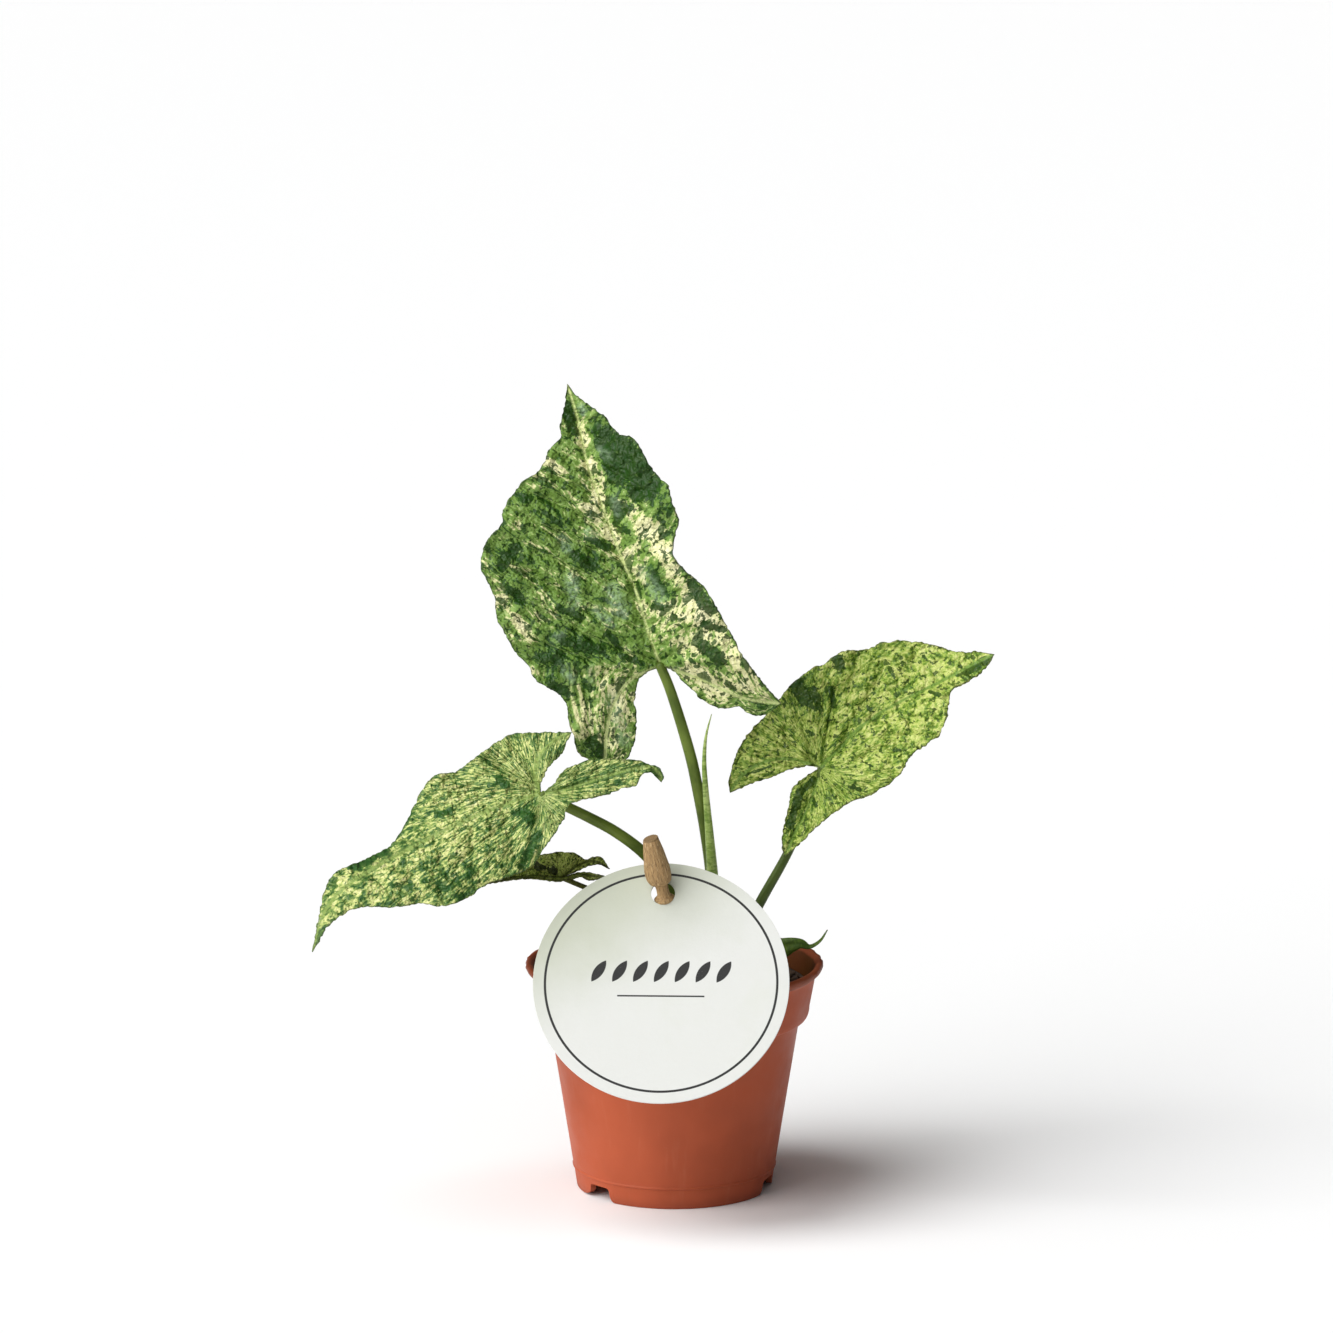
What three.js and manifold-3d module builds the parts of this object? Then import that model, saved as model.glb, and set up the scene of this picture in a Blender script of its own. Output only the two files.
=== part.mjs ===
// Arrowhead plant in a 9 cm nursery pot, with a round card tag hung on a wooden peg.
//
// Millimetres, +Z up. Everything is laid out round the pot's own axis with the pot standing on
// z = 0, and at the end the whole group is moved sideways so that the origin is the middle of
// the footprint. The plant's front is the -Y side.
//
// Leaves and stalks are drawn from the front: a drawn point [x, h, back] has its place x and
// height h on the upright plane y = 0, as seen from VIEWPOINT, and "back" is how far behind
// that plane (or, when negative, in front of it) the point really lies.

import * as THREE from "three";
import { mergeVertices } from "three/addons/utils/BufferGeometryUtils.js";
import Module from "manifold-3d";

const wasm = await Module();
wasm.setup();

// ---------------------------------------------------------------------------------------------
// Driving dimensions
// ---------------------------------------------------------------------------------------------

const CLEARANCE = 0.3; // left between pieces that touch
const VIEWPOINT = new THREE.Vector3(-2.4, -1773, 505.5);

const POT = {
  segments: 64,
  wall: 1.2,
  lipRadius: 45,
  lipTop: 69.8,
  lipUnder: 65,
  collarTopRadius: 42.6,
  collarFootRadius: 41,
  collarFoot: 56.2,
  shoulderRadius: 38,
  shoulder: 52.2,
  wallFootRadius: 31,
  wallFoot: 7,
  footRadius: 29.2,
  floorUnder: 5.2,
  floorTop: 6.6,
};

// The notches part the foot ring into three feet. "corners" says how far the foot on each side
// of a notch is rounded off, and the angle is counted from the front.
const FOOT_NOTCH = { width: 8.6, height: 4.5 };
const FOOT_NOTCHES = [
  { angle: -49, corners: [9, 2.5] },
  { angle: 71, corners: [2.5, 9] },
  { angle: 191, corners: [9, 9] },
];
const DRAIN_HOLE = { count: 4, radius: 3.5, circleRadius: 17 };

const SOIL = { edgeTop: 62.4, middleTop: 64 };

const TAG = {
  radius: 37.6,
  thickness: 0.8,
  leanDegrees: 35, // its top leans back from upright
  rollDegrees: -2,
  centre: new THREE.Vector3(-3.7, -42.9, 73.3), // so that its back rests on the pot's lip
  holeRadius: 3.6,
  holeHeight: 28.7, // from the middle of the card to the middle of the hole
};

const PEG = {
  sides: 12,
  neckRadius: 1.75,
  shankRadius: 3.2,
  headRadius: 4.1,
  topRadius: 2.2,
  headLength: 18.5, // above the hole
  buriedEnd: -72, // below the hole, down in the soil
  leanLeftDegrees: 12,
  leanForwardDegrees: 10,
};

const BLADE_THICKNESS = 0.9;
const STALK_SIDES = 10;

// ---------------------------------------------------------------------------------------------
// The plant's drawn lines
// ---------------------------------------------------------------------------------------------

const CROWN = { x: 12.5, y: 0.6, bottom: 53, top: 67.5, radius: 5.8 };

// A stalk is a line of drawn points from its foot to its end, with radii spread evenly along it.
const TALL_STALK = {
  line: [
    [12.3, 61, 0.9], [12.5, 72, 0.8], [12.2, 84, 0.4], [11.1, 98, -0.2], [9.3, 110.8, -0.8],
    [6.9, 123.8, -1.5], [4.8, 133.5, -2], [-1.4, 154, -2.2], [-4.3, 161.5, -1.7],
  ],
  radii: [2.2, 2, 1.85, 1.75, 1.65, 1.6, 1.5],
  steps: 24,
};
const NEW_LEAF = {
  line: [
    [12.9, 61, -3.3], [13.1, 72, -3.3], [12.8, 85, -3.4], [11.9, 98, -3.7], [10.7, 110.8, -4],
    [9.5, 123.8, -3.9], [9.1, 132.1, -3.8], [10.5, 145.7, -3.8],
  ],
  radii: [1.6, 1.55, 1.45, 1.3, 1.2, 0.95, 0.75, 0.3],
  steps: 22,
};
const RIGHT_STALK = {
  line: [
    [16.8, 61, 2.8], [17.6, 68, 3], [20.8, 77.5, 3.6], [26.4, 88.7, 4.8], [33.7, 102.1, 7],
    [38.5, 112.5, 9.6], [42.5, 121.5, 10.4], [44.6, 129.6, 10],
  ],
  radii: [1.7, 1.6, 1.5, 1.35, 1.25, 1.2],
  steps: 20,
};
const LEFT_STALK = {
  line: [
    [8.2, 61, -1], [7.7, 70, -2], [6, 79, -4], [2, 89, -7], [-9, 103, -12],
    [-18, 110.3, -14.3], [-25, 114.2, -15.3], [-32, 117.2, -15.7], [-40.5, 121, -16],
  ],
  radii: [1.8, 1.7, 1.6, 1.6, 1.55, 1.45, 1.3],
  steps: 24,
};
const LOW_STALK = {
  line: [
    [10.2, 61, 4.8], [9.3, 68, 4.4], [5, 75.5, 2.8], [-2, 82, 0], [-12, 87, -3],
    [-20, 89.8, -4.8], [-26.5, 92.4, -6], [-33.2, 95.2, -7],
  ],
  radii: [0.9, 0.85, 0.8, 0.7, 0.65],
  steps: 20,
};
const CURLED_LEAF = {
  line: [
    [24, 59, 3], [25.5, 66, 2.5], [29, 70.8, 1.5], [34, 73.4, 0], [38.5, 74.3, -1],
    [42, 74.3, -1.4], [44.6, 76.2, -1.4], [46.7, 79.6, -1.4],
  ],
  radii: [0.9, 0.9, 1.3, 2.1, 2, 0.8, 0.5, 0.35],
  steps: 20,
};

// A blade is drawn as one midrib, from tip to junction, and two halves. Each half has a margin
// from the leaf's tip round its side to the tip of its lobe, the lobe's own vein from the
// junction to that tip, and the inner margin back along the notch where the stalk joins.
// "shoulder" counts the margin points up to the one level with the junction. "lift" is how far
// the margin stands in front of the vein opposite it, at the leaf's tip, half way, at the
// junction and at the lobe's tip.
const TALL_BLADE = {
  midrib: [
    [-31.3, 245, 21], [-29.1, 237, 18.5], [-25.9, 222, 13.2], [-20.5, 207, 8],
    [-16.2, 195, 4.4], [-11.2, 183, 0.8], [-7.4, 170, -2.3], [-4, 161, -4],
  ],
  left: {
    margin: [
      [-31.3, 245], [-33.4, 238], [-34, 231], [-38.5, 224], [-41, 220], [-48, 214], [-51.5, 207],
      [-53, 203], [-57, 198], [-58, 191], [-54.3, 182], [-53, 175], [-48.5, 166], [-44, 161],
      [-41, 156], [-34, 151], [-31.7, 144], [-29.7, 136], [-26, 132], [-20.5, 130.5],
    ],
    shoulder: 13,
    vein: [[-4, 161, -4], [-13, 157, -5.5], [-18.5, 149, -7], [-20.5, 140, -8], [-20.5, 130.5, -8]],
    inner: [[-4, 161], [-8, 159.4], [-11.2, 155], [-11.7, 146], [-12.3, 137], [-20.5, 130.5]],
    lift: [0, 4, 3, 0],
    innerLift: -1.5,
  },
  right: {
    margin: [
      [-31.3, 245], [-25, 240], [-17, 232], [-10.5, 228.3], [-6, 220], [-1.5, 214.5], [0.8, 205.5],
      [-0.6, 199.5], [0.3, 193.5], [8.5, 185.8], [13.5, 177], [20, 165], [26, 157], [32.2, 149.6],
    ],
    shoulder: 11,
    vein: [[-4, 161, -4], [4, 158.6, -6], [13, 154.6, -8.5], [22, 151, -10.5], [32.2, 149.6, -12]],
    inner: [[-4, 161], [0, 159.5], [5, 153.5], [10, 149.6], [20, 148], [27, 146.4], [32.2, 149.6]],
    lift: [0, 15, 14, 0],
    innerLift: -1.5,
  },
};
const RIGHT_BLADE = {
  midrib: [
    [96.2, 164.6, 6], [90, 161.5, 8], [82, 157, 9.6], [72, 152, 10.4], [63, 147, 10.2],
    [56, 142, 9.6], [49, 134.8, 8.6], [44, 129.6, 8],
  ],
  left: {
    margin: [
      [96.2, 164.6], [92, 165.3], [85, 165.4], [78, 167.4], [70, 168.7], [63, 168.2], [57, 166],
      [50, 165.3], [45.5, 162], [40, 159.5], [34, 154], [27, 145.3], [21.8, 139.4], [18, 132],
      [16.5, 124.5], [16.8, 122],
    ],
    shoulder: 10,
    vein: [[44, 129.6, 8], [36, 132.2, 8.5], [28, 131.6, 8], [21, 127.8, 6.5], [16.8, 122, 5]],
    inner: [[44, 129.6], [42, 130.3], [37, 129.8], [29, 126.7], [22, 124.3], [16.8, 122]],
    lift: [0, -14, -12, 0],
    innerLift: 1.5,
  },
  right: {
    margin: [
      [96.2, 164.6], [93.5, 160], [88, 156], [83.6, 153.5], [82.6, 148], [80, 140], [72, 134],
      [67.5, 127], [61, 122.4], [52, 118.4], [43.5, 111.8], [38.6, 106.6], [33.2, 102],
    ],
    shoulder: 7,
    vein: [[44, 129.6, 8], [42.5, 123.5, 6], [39.8, 116, 4.4], [36, 108.5, 3.2], [33.2, 102, 2.6]],
    inner: [[44, 129.6], [40, 127.3], [35.8, 123.5], [34.2, 116], [32.5, 108], [33.2, 102]],
    lift: [0, 12, 12, 0],
    innerLift: -0.5,
  },
};
const LEFT_BLADE = {
  midrib: [
    [-110, 72.5, -38], [-107, 83, -37], [-101, 91.5, -34.5], [-91, 98.5, -31], [-80, 104.6, -27.5],
    [-70, 110, -24.5], [-60, 114.8, -21.8], [-50, 118.8, -19.5], [-40.5, 121.5, -18],
  ],
  left: {
    margin: [
      [-110, 72.5], [-108, 82], [-106.5, 90], [-103, 97], [-95, 100.6], [-85.5, 106], [-81, 113],
      [-75.5, 124], [-72, 127.4], [-66, 128.6], [-57, 135.3], [-49, 140], [-40, 140.6], [-31, 140.6],
    ],
    shoulder: 11,
    vein: [[-40.5, 121.5, -18], [-42, 128, -16], [-40, 134, -14], [-36, 138, -12.8], [-31, 140.6, -12]],
    inner: [[-40.5, 121.5], [-40.2, 125], [-38.2, 129], [-34, 134.5], [-31, 140.6]],
    lift: [0, -14, -11, 0],
    innerLift: 0.5,
  },
  right: {
    margin: [
      [-110, 72.5], [-105, 80.5], [-99, 85.2], [-93, 86.6], [-85, 86.4], [-77, 87.6], [-70, 86.8],
      [-62, 89.8], [-57, 93.6], [-50, 96], [-43.5, 99], [-38.6, 106], [-34, 113], [-31.3, 118.6],
      [-22, 121], [-12.5, 123.6], [-4, 125.2],
    ],
    shoulder: 12,
    vein: [[-40.5, 121.5, -18], [-31, 123.6, -18.6], [-22, 126.6, -19.4], [-12, 128.6, -20], [-4, 125.2, -20]],
    inner: [[-40.5, 121.5], [-37, 124], [-32.5, 129.4], [-26, 132], [-15, 132], [-7.5, 131], [-4, 125.2]],
    lift: [0, 13, 8, 0],
    innerLift: -1.5,
  },
};
const LOW_BLADE = {
  midrib: [[-60, 93.2, -14], [-52, 95, -12.4], [-43.8, 96, -10.4], [-34, 95.6, -8.6]],
  left: {
    margin: [
      [-60, 93.2], [-53, 98.5], [-46, 101.8], [-40, 102.9], [-33.4, 103.7], [-28.9, 102.7],
      [-26.8, 101.3], [-22.5, 102.2], [-19.6, 98.4],
    ],
    shoulder: 5,
    vein: [[-34, 95.6, -8.6], [-30, 99, -6.8], [-25, 100.8, -6], [-19.6, 98.4, -6.4]],
    inner: [[-34, 95.6], [-29.5, 97.6], [-25.6, 99.3], [-22.5, 99.7], [-19.6, 98.4]],
    lift: [0, -4, -2, 0],
    innerLift: 0.5,
  },
  right: {
    margin: [[-60, 93.2], [-52, 94.6], [-43.8, 95.4], [-35, 94.6], [-28.6, 95.8], [-25.6, 94.9], [-20.2, 95.9]],
    shoulder: 3,
    vein: [[-34, 95.6, -8.6], [-29, 96.6, -7.8], [-24.5, 96, -7.8], [-20.2, 95.9, -8]],
    inner: [[-34, 95.6], [-29.4, 97.3], [-25.5, 97.3], [-20.2, 95.9]],
    lift: [0, 7, 5, 0],
    innerLift: -0.5,
  },
};

// ---------------------------------------------------------------------------------------------
// Helpers
// ---------------------------------------------------------------------------------------------

/** The real place of a point drawn at x and h on the plane y = 0, that lies at y = back. */
function place(x, h, back) {
  const reach = 1 - back / VIEWPOINT.y;
  return new THREE.Vector3(x, 0, h).sub(VIEWPOINT).multiplyScalar(reach).add(VIEWPOINT);
}

/** The point at a share t of a list that is spread evenly from 0 to 1. */
function spread(list, t) {
  const at = t * (list.length - 1);
  const low = Math.min(Math.floor(at), list.length - 2);
  return THREE.MathUtils.lerp(list[low], list[low + 1], at - low);
}

/** Evenly spaced points on the smooth line through the given points, which have 2 or 3 numbers. */
function smoothLine(points, steps) {
  const knots = points.map(([x, h, back = 0]) => new THREE.Vector3(x, h, back));
  return new THREE.CatmullRomCurve3(knots, false, "centripetal").getSpacedPoints(steps);
}

/** A three.js geometry as a manifold-3d solid. */
function toSolid(geometry) {
  const bare = geometry.clone();
  bare.deleteAttribute("normal");
  bare.deleteAttribute("uv");
  const merged = mergeVertices(bare, 1e-4);
  const vertProperties = Float32Array.from(merged.attributes.position.array);
  const triVerts = Uint32Array.from(merged.index.array);
  return new wasm.Manifold(new wasm.Mesh({ numProp: 3, vertProperties, triVerts }));
}

/** The first geometry with the others cut out of it. */
function cut(geometry, tools) {
  let solid = toSolid(geometry);
  for (const tool of tools) {
    solid = solid.subtract(toSolid(tool));
  }
  const mesh = solid.getMesh();
  const result = new THREE.BufferGeometry();
  result.setAttribute("position", new THREE.BufferAttribute(mesh.vertProperties, 3));
  result.setIndex(new THREE.BufferAttribute(mesh.triVerts, 1));
  return result.toNonIndexed();
}

/** A turned solid about the Z axis from a profile of [radius, z] pairs or Vector2s. */
function turned(profile, segments) {
  const points = profile.map((p) => (p.isVector2 ? p : new THREE.Vector2(...p)));
  return new THREE.LatheGeometry(points, segments).rotateX(Math.PI / 2);
}

function named(name, geometry, color, roughness) {
  const mesh = new THREE.Mesh(geometry, new THREE.MeshStandardMaterial({ color, roughness, metalness: 0 }));
  mesh.name = name;
  return mesh;
}

// ---------------------------------------------------------------------------------------------
// Pot and soil
// ---------------------------------------------------------------------------------------------

/** The pot's section, from the underside of its floor out, up and back down inside. */
function potProfile() {
  const p = POT;
  const outline = new THREE.Path();
  outline.moveTo(0, p.floorUnder);
  outline.lineTo(p.footRadius - p.wall, p.floorUnder);
  outline.lineTo(p.footRadius - p.wall, 0);
  outline.lineTo(p.footRadius, 0);
  outline.lineTo(p.footRadius + 1.1, p.wallFoot - 0.5);
  outline.lineTo(p.wallFootRadius, p.wallFoot);
  outline.lineTo(p.shoulderRadius, p.shoulder);
  outline.quadraticCurveTo(p.collarFootRadius, p.shoulder + 0.4, p.collarFootRadius, p.collarFoot);
  outline.lineTo(p.collarTopRadius, p.lipUnder);
  outline.quadraticCurveTo(p.collarTopRadius + 0.8, p.lipUnder + 2, p.lipRadius, p.lipTop - 1.4);
  outline.quadraticCurveTo(p.lipRadius, p.lipTop, p.lipRadius - 1, p.lipTop);
  outline.quadraticCurveTo(p.collarTopRadius - 0.2, p.lipTop - 1.5, p.collarTopRadius - p.wall, p.lipUnder);
  outline.lineTo(p.collarFootRadius - p.wall, p.collarFoot + 0.5);
  outline.quadraticCurveTo(
    p.collarFootRadius - p.wall, p.shoulder + 1.6, p.shoulderRadius - p.wall, p.shoulder + 1);
  outline.lineTo(p.wallFootRadius - p.wall, p.floorTop + 1.5);
  outline.lineTo(p.wallFootRadius - p.wall - 1.5, p.floorTop);
  outline.lineTo(0, p.floorTop);
  return outline.getPoints(3);
}

/** The tool for one notch in the foot ring, with rounded corners on the feet beside it. */
function footNotch({ angle, corners }) {
  const { width, height } = FOOT_NOTCH;
  const half = width / 2;
  const shape = new THREE.Shape();
  shape.moveTo(-half - corners[0], -1);
  shape.lineTo(-half - corners[0], 0);
  shape.quadraticCurveTo(-half, 0, -half, height - 1.5);
  shape.quadraticCurveTo(-half, height, -half + 1.5, height);
  shape.lineTo(half - 1.5, height);
  shape.quadraticCurveTo(half, height, half, height - 1.5);
  shape.quadraticCurveTo(half, 0, half + corners[1], 0);
  shape.lineTo(half + corners[1], -1);
  const reach = { depth: 12, bevelEnabled: false, curveSegments: 3 };
  return new THREE.ExtrudeGeometry(shape, reach)
    .rotateX(Math.PI / 2)
    .translate(0, 6 - POT.footRadius, 0)
    .rotateZ(THREE.MathUtils.degToRad(angle));
}

function drainHole(angle) {
  const { radius, circleRadius } = DRAIN_HOLE;
  const depth = POT.floorTop - POT.floorUnder + 2;
  return new THREE.CylinderGeometry(radius, radius, depth, 16)
    .rotateX(Math.PI / 2)
    .translate(circleRadius, 0, (POT.floorTop + POT.floorUnder) / 2)
    .rotateZ(angle);
}

function potGeometry() {
  const tools = FOOT_NOTCHES.map(footNotch);
  for (let i = 0; i < DRAIN_HOLE.count; i += 1) {
    tools.push(drainHole(((i + 0.5) * 2 * Math.PI) / DRAIN_HOLE.count));
  }
  return cut(turned(potProfile(), POT.segments), tools);
}

/** The soil fills the pot to a little under the lip and is slightly heaped in the middle. */
function soilGeometry(tools) {
  const p = POT;
  const inset = p.wall + CLEARANCE;
  const profile = [
    [0, p.floorTop + CLEARANCE],
    [p.wallFootRadius - inset - 1.6, p.floorTop + CLEARANCE],
    [p.wallFootRadius - inset, p.floorTop + 1.8],
    [p.shoulderRadius - inset, p.shoulder + 1.3],
    [p.collarFootRadius - inset - 0.2, p.collarFoot + 0.6],
    [p.collarTopRadius - inset - 0.6, SOIL.edgeTop],
    [24, SOIL.edgeTop + 0.8],
    [10, SOIL.middleTop],
    [0, SOIL.middleTop],
  ];
  return cut(turned(profile, POT.segments), tools);
}

// ---------------------------------------------------------------------------------------------
// Tag and peg
// ---------------------------------------------------------------------------------------------

function tagMesh() {
  const card = new THREE.Shape();
  card.absarc(0, 0, TAG.radius, 0, 2 * Math.PI);
  const hole = new THREE.Path();
  hole.absarc(0, TAG.holeHeight, TAG.holeRadius, 0, 2 * Math.PI, true);
  card.holes.push(hole);
  const geometry = new THREE.ExtrudeGeometry(card, {
    depth: TAG.thickness,
    bevelEnabled: false,
    curveSegments: 32,
  }).translate(0, 0, -TAG.thickness / 2);
  const mesh = named("tag_card", geometry, 0xf2f3ef, 0.7);
  mesh.position.copy(TAG.centre);
  mesh.rotation.set(
    THREE.MathUtils.degToRad(90 - TAG.leanDegrees), 0, THREE.MathUtils.degToRad(TAG.rollDegrees));
  return mesh;
}

/** The peg's section about its own axis, from its point up to its flat top, grown by "extra". */
function pegGeometry(extra) {
  const { neckRadius, shankRadius, headRadius, topRadius, headLength, buriedEnd } = PEG;
  const profile = [
    [0, buriedEnd - 4 * extra],
    [shankRadius + extra, buriedEnd + 14],
    [shankRadius + extra, -5.6],
    [neckRadius + extra, -5],
    [neckRadius + extra, 3],
    [headRadius - 0.6 + extra, 5.8],
    [headRadius + extra, 9],
    [topRadius + extra, headLength + extra],
    [0, headLength + extra],
  ];
  return turned(profile, PEG.sides);
}

/** Puts a geometry or mesh on the peg's axis, with its zero at the middle of the tag's hole. */
function onPegAxis(thing, holeCentre) {
  const lean = new THREE.Vector3(
    -Math.tan(THREE.MathUtils.degToRad(PEG.leanLeftDegrees)),
    -Math.tan(THREE.MathUtils.degToRad(PEG.leanForwardDegrees)), 1).normalize();
  const turn = new THREE.Quaternion().setFromUnitVectors(new THREE.Vector3(0, 0, 1), lean);
  return thing.applyMatrix4(new THREE.Matrix4().compose(holeCentre, turn, new THREE.Vector3(1, 1, 1)));
}

// ---------------------------------------------------------------------------------------------
// Stalks and blades
// ---------------------------------------------------------------------------------------------

/** A round stalk along its drawn line, thinned to its own radii; "extra" grows it for a socket. */
function stalkGeometry({ line, radii, steps }, extra = 0) {
  const points = line.map((p) => place(...p));
  points[0].z -= extra;
  const path = new THREE.CatmullRomCurve3(points, false, "centripetal");
  const section = new THREE.Shape();
  section.absarc(0, 0, 1, 0, 2 * Math.PI);
  const geometry = new THREE.ExtrudeGeometry(section, {
    steps,
    curveSegments: STALK_SIDES / 2,
    bevelEnabled: false,
    extrudePath: path,
  });
  const centres = path.getSpacedPoints(steps);
  const position = geometry.attributes.position;
  const point = new THREE.Vector3();
  for (let i = 0; i < position.count; i += 1) {
    point.fromBufferAttribute(position, i);
    const nearest = nearestIndex(centres, point);
    const radius = spread(radii, nearest / steps) + extra;
    point.sub(centres[nearest]).multiplyScalar(radius).add(centres[nearest]);
    position.setXYZ(i, point.x, point.y, point.z);
  }
  return geometry;
}

function nearestIndex(centres, point) {
  let best = 0;
  for (let i = 1; i < centres.length; i += 1) {
    if (centres[i].distanceToSquared(point) < centres[best].distanceToSquared(point)) {
      best = i;
    }
  }
  return best;
}

/** Margin points matched to the spine: evenly spaced down to the shoulder, then to the lobe tip. */
function matchedMargin(margin, shoulder, bodySteps, lobeSteps) {
  const fine = 12;
  const knots = margin.map(([x, h]) => new THREE.Vector3(x, h, 0));
  const dense = new THREE.CatmullRomCurve3(knots, false, "centripetal").getPoints((margin.length - 1) * fine);
  const body = respaced(dense.slice(0, shoulder * fine + 1), bodySteps);
  const lobe = respaced(dense.slice(shoulder * fine), lobeSteps);
  return [...body, ...lobe.slice(1)];
}

/** Evenly spaced points along a run of close points. */
function respaced(points, steps) {
  const reach = [0];
  for (let i = 1; i < points.length; i += 1) {
    reach.push(reach[i - 1] + points[i].distanceTo(points[i - 1]));
  }
  const result = [];
  let at = 0;
  for (let step = 0; step <= steps; step += 1) {
    const wanted = (reach[points.length - 1] * step) / steps;
    while (at < points.length - 2 && reach[at + 1] < wanted) {
      at += 1;
    }
    const share = (wanted - reach[at]) / (reach[at + 1] - reach[at]);
    result.push(points[at].clone().lerp(points[at + 1], Math.min(share, 1)));
  }
  return result;
}

/** Rows of placed points from a spine out to a margin; "lift" brings each margin point forward. */
function stripRows(spine, margin, lift, across) {
  return spine.map((root, i) => {
    const row = [];
    for (let j = 0; j <= across; j += 1) {
      const t = j / across;
      const x = THREE.MathUtils.lerp(root.x, margin[i].x, t);
      const h = THREE.MathUtils.lerp(root.y, margin[i].y, t);
      const rise = lift(i) * t * (1.5 - 0.5 * t);
      row.push(place(x, h, root.z - rise));
    }
    return row;
  });
}

/** The four strips of a blade: for each half, one outside its spine and one inside its lobe. */
function bladeStrips(blade, bodySteps, lobeSteps, across) {
  const midrib = smoothLine(blade.midrib, bodySteps);
  const strips = [];
  for (const [half, turn] of [[blade.left, false], [blade.right, true]]) {
    const vein = smoothLine(half.vein, lobeSteps);
    const spine = [...midrib, ...vein.slice(1)];
    const margin = matchedMargin(half.margin, half.shoulder, bodySteps, lobeSteps);
    const share = (i) => (i <= bodySteps ? (2 * i) / bodySteps : 2 + (i - bodySteps) / lobeSteps) / 3;
    strips.push({ rows: stripRows(spine, margin, (i) => spread(half.lift, share(i)), across), turn });
    const inner = smoothLine(half.inner, lobeSteps);
    const innerLift = (i) => half.innerLift * Math.sin((Math.PI * i) / lobeSteps);
    strips.push({ rows: stripRows(vein, inner, innerLift, 2), turn: !turn });
  }
  return strips;
}

/** One sheet from strips of rows: shared points are joined, and faces look to the front. */
function sheetGeometry(strips) {
  const corners = [];
  const triangle = (a, b, c) => {
    if (a.distanceTo(b) > 1e-3 && b.distanceTo(c) > 1e-3 && c.distanceTo(a) > 1e-3) {
      corners.push(a, b, c);
    }
  };
  for (const { rows, turn } of strips) {
    for (let i = 0; i + 1 < rows.length; i += 1) {
      for (let j = 0; j + 1 < rows[i].length; j += 1) {
        const [a, b, c, d] = [rows[i][j], rows[i + 1][j], rows[i + 1][j + 1], rows[i][j + 1]];
        const ends = turn ? [[a, b, c], [a, c, d]] : [[a, c, b], [a, d, c]];
        ends.forEach((end) => triangle(...end));
      }
    }
  }
  const sheet = mergeVertices(new THREE.BufferGeometry().setFromPoints(corners), 1e-3);
  sheet.computeVertexNormals();
  return sheet;
}

/** A closed thin body from a sheet: its two faces, and a wall along every edge used only once. */
function thickened(sheet, thickness) {
  const position = sheet.attributes.position;
  const normal = sheet.attributes.normal;
  const index = Array.from(sheet.index.array);
  const face = (side) => Array.from({ length: position.count }, (_, i) => {
    const out = new THREE.Vector3().fromBufferAttribute(normal, i).multiplyScalar((side * thickness) / 2);
    return new THREE.Vector3().fromBufferAttribute(position, i).add(out);
  });
  const front = face(1);
  const rear = face(-1);
  const corners = [];
  const used = new Set();
  for (let i = 0; i < index.length; i += 3) {
    const [a, b, c] = index.slice(i, i + 3);
    corners.push(front[a], front[b], front[c], rear[a], rear[c], rear[b]);
    [[a, b], [b, c], [c, a]].forEach(([from, to]) => used.add(`${from},${to}`));
  }
  for (const edge of used) {
    const [a, b] = edge.split(",").map(Number);
    if (!used.has(`${b},${a}`)) {
      corners.push(front[b], front[a], rear[a], front[b], rear[a], rear[b]);
    }
  }
  return new THREE.BufferGeometry().setFromPoints(corners);
}

function bladeGeometry(blade, bodySteps, lobeSteps, across) {
  return thickened(sheetGeometry(bladeStrips(blade, bodySteps, lobeSteps, across)), BLADE_THICKNESS);
}

/** The short stem at soil level, grown by "extra". */
function crownGeometry(extra) {
  const { x, y, bottom, top, radius } = CROWN;
  const profile = [
    [0, bottom - extra],
    [radius * 0.7 + extra, bottom - extra],
    [radius + extra, bottom + 5],
    [radius + extra, top - 2.5],
    [radius * 0.75 + extra, top + extra],
    [0, top + extra],
  ];
  return turned(profile, 20).translate(x, y, 0);
}

// ---------------------------------------------------------------------------------------------
// The plant
// ---------------------------------------------------------------------------------------------

const LEAF_GREEN = 0x5f8038;
const STALK_GREEN = 0x6c8238;
const STALKS = [TALL_STALK, NEW_LEAF, RIGHT_STALK, LEFT_STALK, LOW_STALK];

const plant = new THREE.Group();

const tag = tagMesh();
tag.updateMatrix();
const holeCentre = new THREE.Vector3(0, TAG.holeHeight, 0).applyMatrix4(tag.matrix);
const stalkSockets = STALKS.map((stalk) => stalkGeometry(stalk, CLEARANCE));
const soilSockets = [
  onPegAxis(pegGeometry(CLEARANCE), holeCentre),
  crownGeometry(CLEARANCE),
  stalkGeometry(CURLED_LEAF, CLEARANCE),
  ...stalkSockets,
];

plant.add(named("pot", potGeometry(), 0xb0573c, 0.5));
plant.add(named("soil", soilGeometry(soilSockets), 0x3a2419, 0.95));
plant.add(named("main_stem", cut(crownGeometry(0), stalkSockets), 0x77803c, 0.6));

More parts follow.
